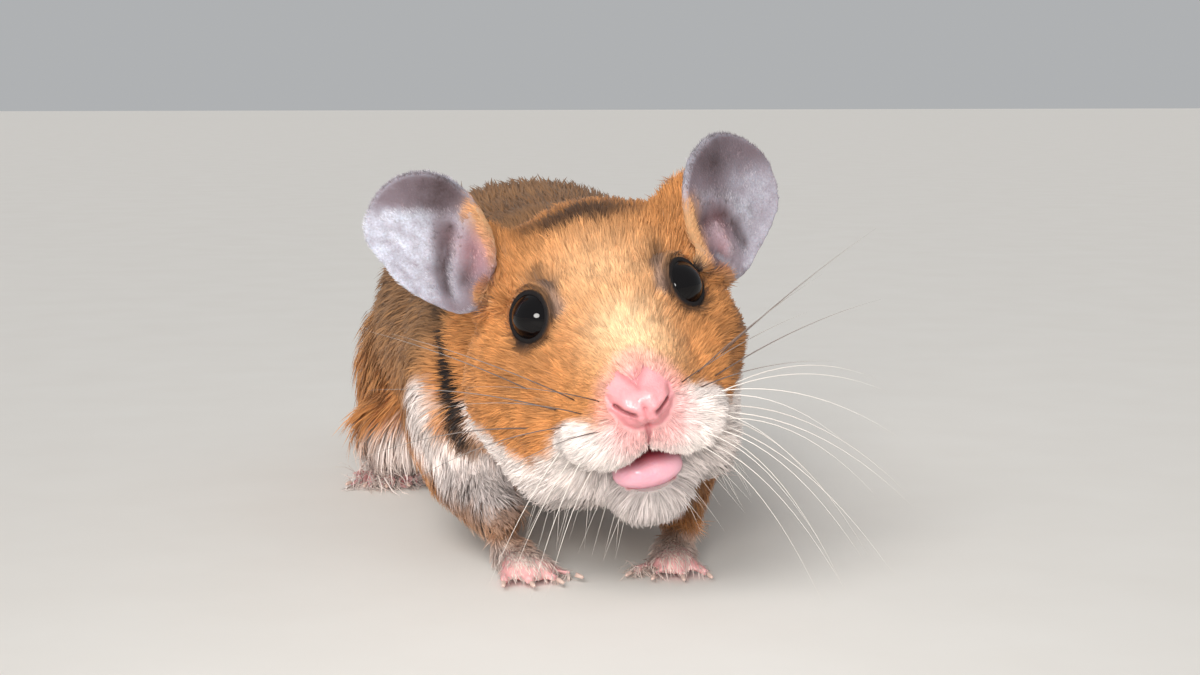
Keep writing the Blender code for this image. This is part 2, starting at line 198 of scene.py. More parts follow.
# %% [markdown]
# Each ear is a thin, cupped leaf. Its own frame has x across the leaf, y out of its hollow side and z to
# its tip, so a place on it can be told as how far across and how far up, from -1 to 1.

# %% The ears' frames
EAR_HALF_WIDTH, EAR_HALF_LENGTH, EAR_CUP = 7.2, 9.0, 2.4
EARS = {  # the leaf's middle, its way up, the way its hollow faces, and how its outer edge is shaped later
    "left": dict(middle=(16.6, 8.4, 5.0), axis=(0.12, 0.30, 0.95), facing=(0.62, -0.76, 0.16),
                 inward=1, taper=2.2, waist=(0.2, -0.75), lean=1.2),
    "right": dict(middle=(-17.9, 8.0, 8.3), axis=(-0.43, 0.28, 0.86), facing=(-0.36, -0.90, 0.20),
                  inward=-1, taper=1.6, waist=(0.8, 0.15), lean=0.0)}
EAR_OPENING = 1.9
for plan in EARS.values():
    axis = unit(np.array(plan["axis"]))
    facing = np.array(plan["facing"])
    facing = unit(facing - axis * (facing @ axis))
    plan["turn"] = HEAD_TURN @ np.stack([np.cross(facing, axis), facing, axis], axis=1)
    plan["shaped"] = 0
    plan["place"] = from_head(plan["middle"])


def on_ear(places, plan):
    """How far across (towards the crown) and up a place is, its height over the leaf's middle sheet, and how
    much it belongs to the leaf. Once the ear is sculpted, this allows for the way that it was moved."""
    local = (places - plan["place"]) @ plan["turn"]
    up = local[:, 2] / EAR_HALF_LENGTH
    found = local[:, 0] * plan["inward"] / (EAR_HALF_WIDTH * (1 + 0.1 * np.clip(up, -1, 1)))
    across = found
    for _ in range(3 * plan["shaped"]):
        across = found - moved_across(across, up, plan) / EAR_HALF_WIDTH
    sheet = EAR_CUP * across ** 2 + 1.2 * np.maximum(-up, 0) ** 2 - 0.8 * np.maximum(up, 0) ** 2
    sheet = sheet - plan["shaped"] * EAR_OPENING * crown_side(across, up)
    height = local[:, 1] - sheet
    reach = np.hypot(across, up)
    root = up + 0.3 * ramp(across, 0.4, 0.0)
    leaf = ramp(reach, 1.3, 1.12) * ramp(np.abs(height), 2.0, 1.1) * ramp(root, -0.92, -0.7)
    return across, up, height, leaf


def moved_across(across, up, plan):
    """How far sculpting moves the leaf towards the crown: its outer edge goes in, its tip may lean out."""
    drawn_in = plan["taper"] * ramp(across, -0.1, -0.95) * ramp(up, *plan["waist"])
    return drawn_in - plan["lean"] * ramp(up, 0.1, 0.9)


def crown_side(across, up):
    """How much a place on the leaf belongs to its edge towards the crown."""
    return ramp(across, 0.25, 1.05) * ramp(up, -0.95, -0.4)


def ear_share(places):
    return np.maximum(*[on_ear(places, plan)[3] for plan in EARS.values()])


def furred_edge(across, up):
    """The ear's edge towards the crown and its root, where the head's fur grows over it."""
    edge = ramp(across - 0.1 * up, 0.55, 0.95) * ramp(up, 0.35, -0.1)
    return np.maximum(edge, ramp(up, -0.72, -0.9) * ramp(across, -0.1, 0.25))


def bare_ear_share(places):
    shares = []
    for plan in EARS.values():
        across, up, _, leaf = on_ear(places, plan)
        shares.append(leaf * (1 - furred_edge(across, up)))
    return np.maximum(*shares)


# %% [markdown]
# The skin of a mounted animal is one piece, with no seam where a leg or the jaw begins. The solids are
# copied, joined, and made one by a voxel remesh: they are swollen by a fifth of a millimetre first, so
# that the narrow gaps between them close. A ball at each ear's root fills the fold where the leaf rolls
# into the head. Small hollows may stay shut in between the copies, so only what hangs together with the
# nose is kept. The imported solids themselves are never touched.

# %% One skin from copies of the solids
FLESH = ["head", "lower_jaw", "nose", "neck", "chest", "trunk", "rump", "tail"]
for side in HANDS:
    FLESH += [part + "_" + side for part in
              ("ear", "upper_foreleg", "lower_foreleg", "forefoot", "thigh", "shank", "hindfoot")]
VOXEL = 0.3


def pick(*pieces):
    bpy.ops.object.select_all(action="DESELECT")
    for piece in pieces:
        piece.select_set(True)
    bpy.context.view_layer.objects.active = pieces[0]


def copy_of(name):
    solid = frame["nodes"][name]
    copy = solid.copy()
    copy.data = solid.data.copy()
    copy.parent = None
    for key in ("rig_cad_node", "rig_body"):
        if key in copy:
            del copy[key]
    bpy.context.scene.collection.objects.link(copy)
    return copy


def joined(copies, new_name):
    pick(*copies)
    bpy.ops.object.join()
    piece = bpy.context.object
    piece.name = piece.data.name = new_name
    bpy.ops.object.mode_set(mode="EDIT")
    bpy.ops.mesh.select_all(action="SELECT")
    bpy.ops.mesh.remove_doubles(threshold=0.000001)
    bpy.ops.object.mode_set(mode="OBJECT")
    return piece


def finished(piece, kind, **settings):
    """A modifier, set and applied."""
    modifier = piece.modifiers.new(kind.title(), kind)
    for name, value in settings.items():
        setattr(modifier, name, value)
    pick(piece)
    bpy.ops.object.modifier_apply(modifier=modifier.name)


def places_of(piece):
    out = np.empty(len(piece.data.vertices) * 3)
    piece.data.vertices.foreach_get("co", out)
    return out.reshape(-1, 3) / MM


def normals_of(piece):
    out = np.empty(len(piece.data.vertices) * 3)
    piece.data.vertex_normals.foreach_get("vector", out)
    return out.reshape(-1, 3)


def move_to(piece, places):
    piece.data.vertices.foreach_set("co", (places * MM).ravel())
    piece.data.update()


WEIGHT_LEVELS = 12


def weigh(piece, name, weights):
    """A vertex group from an array of weights, in a dozen levels."""
    group = piece.vertex_groups.new(name=name)
    steps = np.round(np.clip(weights, 0, 1) * WEIGHT_LEVELS).astype(int)
    for step in range(1, WEIGHT_LEVELS + 1):
        group.add(np.flatnonzero(steps == step).tolist(), step / WEIGHT_LEVELS, "REPLACE")


EAR_ROOTS = ((-12.4, 7.4, 1.0), (13.6, 7.4, -2.2))
EAR_ROOT_RADIUS = 3.3
SWELLING = 0.2
parts = [copy_of(name) for name in FLESH + ["eye_left", "eye_right"]]
for root in EAR_ROOTS:
    bpy.ops.mesh.primitive_ico_sphere_add(
        subdivisions=3, radius=EAR_ROOT_RADIUS * MM, location=from_head(root) * MM)
    parts.append(bpy.context.object)
skin = joined(parts, "skin")
finished(skin, "DISPLACE", strength=SWELLING * MM, mid_level=0)
finished(skin, "REMESH", mode="VOXEL", voxel_size=VOXEL * MM)

# %% Keep the outer shell only
NOSE_TIP = from_head((0, -18.0, -6.5))
nearest = int(gap_to(places_of(skin), NOSE_TIP).argmin())
skin.data.vertices.foreach_set("select", np.arange(len(skin.data.vertices)) == nearest)
bpy.context.tool_settings.mesh_select_mode = (True, False, False)
pick(skin)
bpy.ops.object.mode_set(mode="EDIT")
bpy.ops.mesh.select_linked()
bpy.ops.mesh.select_all(action="INVERT")
bpy.ops.mesh.delete(type="VERT")
bpy.ops.object.mode_set(mode="OBJECT")
print("skin:", len(skin.data.vertices), "points in one piece")

# %% [markdown]
# Smoothing takes the facets of the solids away. Broad forms can take a lot of it, but the nose, the ears,
# the toes and the lips would melt, so a vertex group holds them back. The whisker pads get a smoothing of
# their own. The left cheek is slimmer low down than the right, so it is drawn in last.

# %% Smooth the broad forms, spare the fine ones
NOSE_SPOT, LIP_SPOT = (0, -16.5, -7), (0, -14.5, -17.5)
TOE_SPOTS = [(-9.6, -45.5, 1.2), (8.4, -45.2, 1.2), (-22.0, 18.5, 1.2), (21.9, 19.0, 1.2)]
WHISKER_PAD = ((4.8, -12.6, -15.2), (7.5, -9.0, -15.0), (9.6, -6.5, -11.5), (8.0, -9.5, -8.3),
               (5.2, -12.8, -7.2))
UNDER_LEFT_EAR = (15.5, 5.7, -3.5)


def fine_share(places):
    """1 on the nose, lips, ears and toes, and 0 on the broad forms."""
    head = to_head(places)
    share = ramp(gap_to(head, NOSE_SPOT), 6.5, 3.5)
    share = np.maximum(share, ramp(gap_to(head, LIP_SPOT), 7.5, 4.5))
    share = np.maximum(share, ear_share(places))
    for spot in TOE_SPOTS:
        toes = ramp(gap_to(places, spot), 9.0, 6.0) * ramp(places[:, 2], 5.0, 3.5)
        share = np.maximum(share, toes)
    return share


places = places_of(skin)
weigh(skin, "broad", 1 - 0.85 * fine_share(places))
finished(skin, "SMOOTH", factor=0.5, iterations=34, vertex_group="broad")
places = places_of(skin)
head = to_head(places)
pad_gap = from_line(mirrored(head), WHISKER_PAD)[0]
weigh(skin, "round pads", ramp(pad_gap, 3.4, 1.4) * ramp(np.abs(head[:, 0]), 3.6, 5.0))
finished(skin, "SMOOTH", factor=0.5, iterations=60, vertex_group="round pads")
places = places_of(skin)
head = to_head(places)
slim = ramp(head[:, 2], 1, -8) * ramp(head[:, 1], 20, 10) * ramp(head[:, 1], -12, -7)
slim *= 0.17 + 0.18 * ramp(head[:, 2], -7, -13)
head[:, 0] -= slim * np.maximum(head[:, 0] - 8, 0)
head[:, 0] -= 1.2 * mound(gap_to(head, UNDER_LEFT_EAR), 2.2)
move_to(skin, from_head(head))

# %% [markdown]
# The solids reach to the tips of the coat, so the skin lies under them by the coat's depth. A table says,
# for spots over the whole body, how deep the coat is, how long its hairs are and how many tufts grow on a
# square millimetre. Between the spots the values blend. A real coat is short and dense on the face, and
# long on the back, where it hides the body's true outline.

# %% The coat's depth, length and density
HEAD_SPOTS = {  # place in the head's frame, reach, depth, length, tufts per square millimetre
    "nose": ((0, -16.6, -6.8), 2.0, 0.0, 0.6, 60), "nose side": ((3.9, -14.2, -6.4), 1.6, 0.28, 0.9, 85),
    "nose top": ((0, -13.4, -3.3), 1.8, 0.35, 1.1, 80), "bridge": ((0, -8, -1), 3.0, 0.8, 1.9, 72),
    "forehead": ((0, 1, 4.5), 5.0, 1.3, 2.6, 54), "crown": ((0, 12, 7.5), 6.0, 1.8, 3.9, 34),
    "whisker pad": ((6, -12, -10.5), 3.0, 0.7, 2.7, 60),
    "upper lip": ((3, -14.6, -14.5), 2.0, 0.35, 1.6, 65),
    "under nose": ((0, -15.8, -11.5), 1.8, 0.2, 0.9, 85), "lip corner": ((6, -10, -17), 2.0, 0.6, 3.4, 52),
    "chin": ((0, -11, -21.5), 3.0, 0.8, 2.8, 54), "lower lip": ((0, -14, -18.9), 1.5, 0.25, 1.4, 75),
    "cheek front": ((10, -6, -9), 4.0, 1.2, 2.7, 54), "cheek": ((16, 2, -11), 5.0, 1.7, 3.5, 38),
    "cheek back": ((18, 9, -14), 5.0, 2.0, 5.0, 26), "jowl": ((9, -2, -21), 4.0, 1.5, 5.0, 30),
    "temple": ((12, 5, 0), 4.0, 1.1, 2.5, 50), "eye": ((10.4, -1.0, 0.5), 3.2, 0.4, 1.3, 80),
    "ear base": ((12, 10, 4.5), 3.0, 1.2, 3.2, 38), "ear root": ((15.5, 5.7, -3.5), 2.0, 0.9, 1.6, 48),
    "throat": ((0, 6, -26), 6.0, 2.0, 5.5, 14)}
BODY_SPOTS = {  # the same, with the place in the body's frame
    "nape": ((0, -26, 42), 8.0, 2.4, 7.0, 11), "shoulder top": ((0, -10, 43), 10.0, 3.2, 9.0, 7.5),
    "back": ((0, 14, 46), 14.0, 3.8, 10.5, 6.0), "rump": ((0, 40, 42), 12.0, 3.8, 10.5, 6.0),
    "rump end": ((0, 56, 22), 8.0, 2.6, 8.0, 7), "shoulder side": ((19, -16, 24), 8.0, 2.0, 5.2, 14),
    "flank": ((23, 10, 24), 10.0, 3.3, 9.0, 6.5), "hip": ((25, 34, 22), 10.0, 3.0, 8.5, 6.5),
    "belly": ((8, 8, 5), 10.0, 1.8, 6.0, 7), "low chest": ((6, -34, 8), 6.0, 1.6, 5.0, 12),
    "upper leg": ((16, -24, 12), 5.0, 1.4, 3.6, 20), "forearm": ((12, -33, 7), 3.5, 0.8, 2.5, 24),
    "wrist": ((10, -39, 4.2), 2.2, 0.3, 1.2, 36), "forefoot": ((9, -44, 2), 3.0, 0.05, 0.7, 45),
    "shank": ((20, 26, 8), 4.0, 1.2, 3.8, 15), "hindfoot": ((21, 25, 3), 4.0, 0.08, 0.9, 32),
    "tail": ((0, 62, 13), 3.0, 0.5, 2.0, 22)}
spot_rows = []
for spots, to_body in ((HEAD_SPOTS, from_head), (BODY_SPOTS, np.array)):
    for place, reach, depth, length, density in spots.values():
        for hand in ((1, -1) if place[0] else (1,)):
            spot = to_body((place[0] * hand, place[1], place[2]))
            spot_rows.append((*spot, reach, depth, length, density))
SPOTS = np.array(spot_rows)


def coat_at(places):
    """The coat's depth, length and tufts per square millimetre at each place."""
    total = np.zeros(len(places))
    values = np.zeros((len(places), 3))
    for row in SPOTS:
        gap = gap_to(places, row[:3])
        weight = mound(gap, row[3]) + 0.000001 / (1 + gap / row[3])
        total += weight
        values += weight[:, None] * row[4:]
    depth, length, density = (values / total[:, None]).T
    leaf, ears = ear_share(places), bare_ear_share(places)
    length = length * (1 - 0.62 * leaf) * (1 - ears) + 0.6 * ears
    return depth * (1 - leaf), length, density * (1 + leaf) * (1 - ears) + 48 * ears


SOLE_GAP = 0.02  # the soles stay this far above the floor
places, outward = places_of(skin), normals_of(skin)
depth = coat_at(places)[0]
places = places - outward * (depth + SWELLING)[:, None]
places[:, 2] = np.maximum(places[:, 2], SOLE_GAP)
move_to(skin, places)
print("coat depth from", depth.min().round(2), "to", depth.max().round(2), "mm")

# %% [markdown]
# The body's skin hides under fur and needs few points, the face needs many. Decimate modifiers thin the
# body a lot and the furry parts of the face less, by vertex groups. Then the faces round the nose, eyes and
# mouth are subdivided, so that folds a fraction of a millimetre wide can be sculpted.

# %% Few points on the body, many on the face
def nearest_eye(places):
    """How far each place is from the middle of the nearer eye."""
    return np.minimum(*[gap_to(places, middle) for middle in eye_middles.values()])


def nose_to_eyes(places):
    """1 where folds are sculpted: on the nose, the lips and round the eyes."""
    head = to_head(places)
    share = np.maximum(ramp(gap_to(head, NOSE_SPOT), 6.5, 4.5), ramp(nearest_eye(places), 6.5, 5.0))
    return np.maximum(share, ramp(gap_to(head, LIP_SPOT), 7.5, 5.5))


def face_share(places):
    """1 on the whole face, the ears and the toes."""
    share = np.maximum(nose_to_eyes(places), fine_share(places))
    return np.maximum(share, ramp(to_head(places)[:, 1], 8.0, 5.0))


weigh(skin, "body", 1 - face_share(places_of(skin)))
finished(skin, "DECIMATE", ratio=0.285, vertex_group="body")
weigh(skin, "furry", face_share(places_of(skin)) - nose_to_eyes(places_of(skin)))
finished(skin, "DECIMATE", ratio=0.64, vertex_group="furry")
finished(skin, "SMOOTH", factor=0.5, iterations=6, vertex_group="body")
shares = face_share(places_of(skin)) + nose_to_eyes(places_of(skin))
print("thinned to", len(skin.data.polygons), "faces; points on the body", int((shares < 0.1).sum()),
      "furry face", int(((shares > 0.9) & (shares < 1.1)).sum()), "nose to eyes", int((shares > 1.9).sum()))


def subdivide_near(piece, wanted):
    """Cuts each face whose middle is wanted into four."""
    middles = np.empty(len(piece.data.polygons) * 3)
    piece.data.polygons.foreach_get("center", middles)
    chosen = wanted(middles.reshape(-1, 3) / MM)
    pick(piece)
    bpy.context.tool_settings.mesh_select_mode = (False, False, True)
    bpy.ops.object.mode_set(mode="EDIT")
    bpy.ops.mesh.select_all(action="DESELECT")
    bpy.ops.object.mode_set(mode="OBJECT")
    piece.data.polygons.foreach_set("select", chosen)
    bpy.ops.object.mode_set(mode="EDIT")
    bpy.ops.mesh.subdivide(number_cuts=1)
    bpy.ops.mesh.vertices_smooth(factor=0.5, repeat=2)
    bpy.ops.object.mode_set(mode="OBJECT")
    print("subdivided", int(chosen.sum()), "faces")


def near_nose(places):
    """The nose, and the narrow groove from it to the lip."""
    head = to_head(places)
    width = np.where(head[:, 2] < -10.6, 0.9, 3.9)
    in_height = (head[:, 2] > -15.2) & (head[:, 2] < -2.8)
    return in_height & (np.abs(head[:, 0]) < width) & (head[:, 1] < -12.5)


def near_eyes_or_mouth(places):
    head = to_head(places)
    mouth = gap_to(head, (0, -14.0, -17.5), (6.5, 6.0, 4.5)) < 1
    return (nearest_eye(places) < EYE_RADIUS + 2.2) | mouth | near_nose(places)


subdivide_near(skin, near_eyes_or_mouth)
subdivide_near(skin, near_nose)

# %% [markdown]
# A hamster's eye is a black bead held by two close lids. Skin within the opening is laid behind the ball.
# At its edge it turns up into a rim that stands nearly half a millimetre over the ball, and then it
# runs out into the cheek. Working by the angle from the eye's axis keeps the rim round and even.

# %% Lids that hold the eyes
LID_ANGLE = math.radians(50)
LID_LEAST, LID_MOST = 0.22, 0.24  # how far the lid's edge stands over the ball
LID_RIM = 0.2  # how much more its rim does
BEHIND_BALL = 0.45


def from_eye(places, side):
    """How far each place is from an eye's middle, and at what angle from its axis."""
    ray = places - eye_middles[side]
    gap = np.linalg.norm(ray, axis=1)
    return gap, np.arccos(np.clip(ray @ eye_axes[side] / np.maximum(gap, 1e-6), -1, 1))


places = places_of(skin)
for side, middle in eye_middles.items():
    ray = places - middle
    distance, angle = from_eye(places, side)
    opening = ramp(angle, LID_ANGLE + 0.03, LID_ANGLE - 0.07)
    rim = mound(angle - LID_ANGLE - 0.11, 0.07)
    brink = EYE_RADIUS + LID_MOST + 1.5 * np.maximum(angle - LID_ANGLE - 0.1, 0)
    brink = brink + 6.0 * np.maximum(angle - LID_ANGLE - 0.55, 0)
    outer = np.minimum(np.maximum(distance, EYE_RADIUS + LID_LEAST), brink) + LID_RIM * rim
    radius = outer * (1 - opening) + (EYE_RADIUS - BEHIND_BALL) * opening
    near = (distance < EYE_RADIUS + 2.6) & (angle < math.radians(110))
    places[near] = (middle + ray / np.maximum(distance, 1e-6)[:, None] * radius[:, None])[near]
move_to(skin, places)

# %% [markdown]
# The nose is bare and pink: two wings, a crease in a V above them, comma-shaped nostrils that curl round
# the wings, a split down the middle and a groove from it to the lip. Each is a soft ridge or furrow along
# a short line, cut into the skin along the way that the nose faces.

# %% Sculpt the nose and the lip's groove
def nose_line_gap(flat, line):
    """How far each place on the nose is from a line or from its mirror image."""
    line = np.asarray(line, float)
    return np.minimum(*[from_line(flat, line * (hand, 1))[0] for hand in HANDS.values()])


def furrow(flat, line, depth, width):
    return depth * mound(nose_line_gap(flat, line), width)


def on_nose(head):
    """Across and up on the nose, whose middle line leans a little more than the head."""
    return np.stack([head[:, 0] + 0.09 * np.maximum(head[:, 2] + 9.7, 0), head[:, 2]], axis=1)


NOSTRIL = [(1.3, -7.7), (1.65, -7.65), (2.2, -7.3), (2.75, -6.9)]
NOSTRIL_CURL = [NOSTRIL[-1], (3.25, -6.5), (3.3, -5.9)]
NOSTRIL_BROW = [(1.2, -7.0), (2.2, -6.5)]
WING_CREASE = [(0.0, -4.8), (0.95, -3.95), (1.7, -3.05)]
NOSE_SPLIT = [(0.0, -7.0), (0.0, -9.4)]
NOSE_HEM = [(3.4, -7.6), (2.6, -9.1), (1.4, -9.95), (0.0, -9.7)]
LIP_GROOVE = [(0.0, -9.6), (0.0, -14.6)]
places = places_of(skin)
head = to_head(places)
flat = on_nose(head)
front = ramp(head[:, 1], -11.5, -13.5)
wing_gap = np.minimum(*[np.hypot(flat[:, 0] - x, (flat[:, 1] + 5.4) * 0.75) for x in (1.95, -1.95)])
lobe_gap = np.minimum(*[np.hypot(flat[:, 0] - x, flat[:, 1] + 8.8) for x in (1.05, -1.05)])
relief = 0.55 * mound(wing_gap, 0.9) + 0.40 * mound(lobe_gap, 0.55)
relief += 0.18 * mound(np.hypot(flat[:, 0], flat[:, 1] + 2.9), 0.9)
relief -= furrow(flat, WING_CREASE, 0.55, 0.28)
relief -= furrow(flat, NOSTRIL, 0.75, 0.2)
relief += 0.09 * drift(places, 0.45, 6) * ramp(flat[:, 1], -7.4, -8.2)
relief -= 0.22 * mound(np.hypot(flat[:, 0], flat[:, 1] + 6.6), 0.42)
relief -= furrow(flat, NOSTRIL_CURL, 0.40, 0.22)
relief += furrow(flat, NOSTRIL_BROW, 0.20, 0.28)
relief -= furrow(flat, NOSE_SPLIT, 0.30, 0.20)
relief -= furrow(flat, NOSE_HEM, 0.28, 0.26)
relief -= furrow(flat, LIP_GROOVE, 0.55, 0.24)
nose_way = HEAD_TURN @ unit(np.array([0.0, -1.0, 0.1]))
nose_relief = relief * front
places = places + nose_relief[:, None] * nose_way
move_to(skin, places)
print("nose sculpted, deepest", nose_relief.min().round(2), "mm")

# %% [markdown]
# Inside the ear the skin gathers in folds near its root: two valleys, later darkened by painted shade, with
# a ridge and a brow beside them. The rim rolls forward a little. No living ear is an even leaf, so the edge
# towards the crown is laid back, the outer edge is drawn in towards the root, and the left tip leans out.

# %% Sculpt the ears' folds and rims
EAR_VALLEYS = {  # lines on the leaf, as shares across (towards the crown) and up
    "left": (((0.72, -0.24), (0.45, -0.1), (0.1, -0.1), (-0.18, -0.24), (-0.36, -0.46)),
             ((0.5, -0.58), (0.3, -0.64), (0.1, -0.76))),
    "right": (((0.42, 0.04), (0.2, -0.08), (0.02, -0.2), (-0.16, -0.32), (-0.32, -0.55)),
              ((0.5, -0.36), (0.3, -0.5), (0.05, -0.62)))}
EAR_RIDGES = {
    "left": (((0.35, -0.3), (0.2, -0.42), (0.08, -0.58)),
             ((0.7, 0.12), (0.4, 0.14), (0.0, 0.1), (-0.4, -0.1))),
    "right": (((0.8, 0.02), (0.52, -0.08), (0.28, -0.24), (0.0, -0.42), (-0.2, -0.66)),
              ((-0.2, 0.56), (0.2, 0.4), (0.42, 0.2), (0.75, 0.04)))}


def fold_gaps(across, up, lines):
    """How far each place on an ear's leaf is from each of the lines, in shares of the leaf."""
    flat = np.stack([across, up], axis=1)
    return [from_line(flat, line)[0] for line in lines]


places = places_of(skin)
for side, plan in EARS.items():
    across, up, height, leaf = on_ear(places, plan)
    hollow = leaf * ramp(height, -0.1, 0.15)
    reach = np.hypot(across, up)
    valley = np.minimum(*fold_gaps(across, up, EAR_VALLEYS[side]))
    ridge, brow = fold_gaps(across, up, EAR_RIDGES[side])
    folds = 0.6 * mound(ridge, 0.08) + 0.35 * mound(brow, 0.09)
    folds += 0.28 * mound(reach - 0.98, 0.07) * ramp(across, 0.6, 0.2)
    folds += 0.10 * drift(places, 2.4, 5)
    sunk = -0.55 * mound(valley, 0.08) - EAR_OPENING * crown_side(across, up)
    moved = plan["inward"] * leaf * moved_across(across, up, plan)
    places = places + (hollow * folds + leaf * sunk)[:, None] * plan["turn"][:, 1]
    places = places + moved[:, None] * plan["turn"][:, 0]
    plan["shaped"] = 1
move_to(skin, places)
finished(skin, "SMOOTH", factor=0.5, iterations=1)
pick(skin)
bpy.ops.object.shade_smooth()
skin.data.materials.clear()
print("skin has", len(skin.data.vertices), "points and", len(skin.data.polygons), "faces")

# %% [markdown]
# The markings of the golden hamster: gold above, white below, a black stripe down each cheek with a cream
# crescent behind it, dark patches by the eyes and on the crown. They are told once, as soft-edged masks from
# a place on the animal, and both the skin and every tuft ask the same function. So hair and the skin under
# it always agree. Each mask's edge is ruffled by noise, as real hair blurs a border. Some masks also hold
# painted light and shade: a paler bridge and forehead, a browner left cheek, painted shade under the eyes,
# and grey shade on the throat, under the jaw and at the inner lids.

# %% The markings
GOLD_EDGE = {  # how high the white reaches on each side of the face, told from the nose backwards
    "right": ((-17, -9.6), (-16.3, -9.2), (-15.3, -8.4), (-13.1, -8.1), (-11.2, -9.9), (-9.6, -12),
              (-7.9, -14.2), (-5.9, -15.2), (-4.2, -14.3), (-2.7, -13.1), (-1.5, -12.1), (0, -11.7),
              (4, -12.1), (14, -13.6)),
    "left": ((-17, -6.6), (-16, -6.3), (-13.9, -6.9), (-11.1, -8.8), (-9.6, -11), (-8, -12.6),
             (-5.9, -12.8), (-3, -11.5), (0, -9.6), (6, -8.0), (14, -7.4))}
CHEEK_STRIPE = ((20.2, 21.0, -5.0), (19.5, 17.8, -8.0), (19.4, 15.6, -11.0), (19.7, 15.0, -14.7),
                (19.8, 14.8, -17.7), (19.0, 13.8, -20.1), (17.4, 12.2, -22.2))
NECK_CRESCENT = ((22.2, 19.8, -15.4), (23.0, 19.0, -18.8), (22.3, 17.2, -20.8), (21.2, 14.4, -22.4),
                 (18.6, 10.8, -23.4), (16.7, 7.8, -24.6))
NECK_STREAK = ((20.5, 22, -3.5), (21, 27, 0), (19, 33, 3))
BROW_PATCH = ((7.2, 3.0, 3.6), (6.4, 0.6, 3.0))
# A line of painted shade below each eye.
SHADE_BELOW_EYE = ((10.9, 1.2, -3.9), (9.6, -1.0, -4.2))
INNER_LID = ((6.6, 1.0, 3.0), (6.2, -2.9, 1.1))
FORELEG_LINE = ((16.5, -25, 11), (12, -33, 7), (10, -40, 4))  # in the body's frame, as the legs are
CONCHA = {"left": 0.25, "right": 0.5}  # how far across each ear its pink inner hollow lies


def sided(head, heights):
    """A height told for each side of the head, blended from one side to the other over the middle."""
    right, left = [np.interp(head[:, 1], *np.array(heights[side]).T) for side in ("right", "left")]
    share = ramp(head[:, 0], -1.0, 1.0)
    return right * (1 - share) + left * share


def on_side(head, line):
    """The distance from a line on the neck's side, and how far along it. The left cheek is slimmer, so there
    the line is taken as seen from the side."""
    even = mirrored(head)
    near, along = from_line(even, line)
    flat, flat_along = from_line(even[:, 1:], np.array(line)[:, 1:])
    left = head[:, 0] > 0
    return np.where(left, flat, near), np.where(left, flat_along, along)


def concha_share(across, up, side):
    return mound(np.hypot(across - CONCHA[side], (up + 0.4) * 0.8), 0.2)


def white_belly(places):
    """White below, about a centimetre up but less by the thighs, and only in the middle by the forelegs."""
    outside = ramp(np.abs(places[:, 0]), 15, 21) * ramp(places[:, 1], 8, 16)
    belly = ramp(places[:, 2] + 2.0 * drift(places, 7, 13) + 4.5 * outside, 12.0, 7.0)
    behind_legs = np.maximum(ramp(places[:, 1], -22, -12), ramp(np.abs(places[:, 0]), 11, 6))
    return belly * (behind_legs * ramp(places[:, 1], -36, -30))


def black_fur_and_shade(places, head, ruffle, beside):
    """The cheek's stripe, a streak behind it, the crown's patch, dark fur round the eyes, and painted shade
    below them.
    """
    even = mirrored(head)
    stripe, down = on_side(head, CHEEK_STRIPE)
    crown = mound(gap_to(head, (-1.2, 9.5, 8.8), (3.2, 1.0, 1.0)), 2.6)
    shares = [ramp(stripe + 0.5 * ruffle, 1.65, 0.8) * ramp(down, 1.02, 0.74) * beside,
              0.75 * ramp(from_line(even, NECK_STREAK)[0] + 1.5 * ruffle, 4.2, 1.5),
              0.85 * ramp(crown + 0.25 * ruffle, 0.3, 0.9),
              0.6 * ramp(from_line(even, BROW_PATCH)[0] + 0.5 * ruffle, 2.3, 0.2),
              # Painted shade below each eye.
              0.55 * ramp(from_line(even, SHADE_BELOW_EYE)[0] + 0.3 * ruffle, 1.3, 0.3)]
    for side in eye_middles:
        gap, angle = from_eye(places, side)
        round_lids = ramp(angle, LID_ANGLE + 0.36, LID_ANGLE + 0.17)
        shares.append(0.75 * (ramp(gap, EYE_RADIUS + 2.0, EYE_RADIUS + 1.2) * round_lids))
    return np.maximum.reduce(shares)


def pink_fur(places, head, ruffle):
    """Rosy fur beside the nose, on its bridge, at the lips and deep in the ears."""
    nose_gap = gap_to(head, (0, -16.5, -7.6), (1.0, 1.0, 1.15))
    bridge_gap = gap_to(head, (0, -13.8, -3.6), (1.3, 1, 1))
    lip_gap = gap_to(head, (0, -15.0, -16.8), (1.6, 1, 1))
    shares = [0.9 * ramp(nose_gap + 0.5 * ruffle, 7.2, 3.4), 0.35 * ramp(lip_gap, 3.6, 1.8),
              0.6 * ramp(bridge_gap + 0.5 * ruffle, 3.4, 1.0)]
    for side, plan in EARS.items():
        across, up, _, leaf = on_ear(places, plan)
        shares.append(0.6 * leaf * concha_share(across, up, side))
    return np.maximum.reduce(shares)


def painted_grey_shade(places, head, ruffle, on_face):
    """Painted shade on the throat and under the jaw, and at the inner lids."""
    aside = np.abs(head[:, 0])
    # Painted shade: the throat, the lower face and the inner lids are greyed where shade falls.
    throat = ramp(head[:, 2] + 0.3 * aside, -20.0, -24.5) * ramp(head[:, 1], -6.5, -2.0) * on_face
    inner_lid = from_line(mirrored(head), INNER_LID)[0]
    return np.maximum.reduce([0.6 * throat * ramp(places[:, 2], 5.0, 9.0),
                              0.44 * ramp(head[:, 2] + 0.25 * aside, -14.5, -20.0) * on_face,
                              0.65 * ramp(inner_lid + 0.3 * ruffle, 1.7, 0.3)])


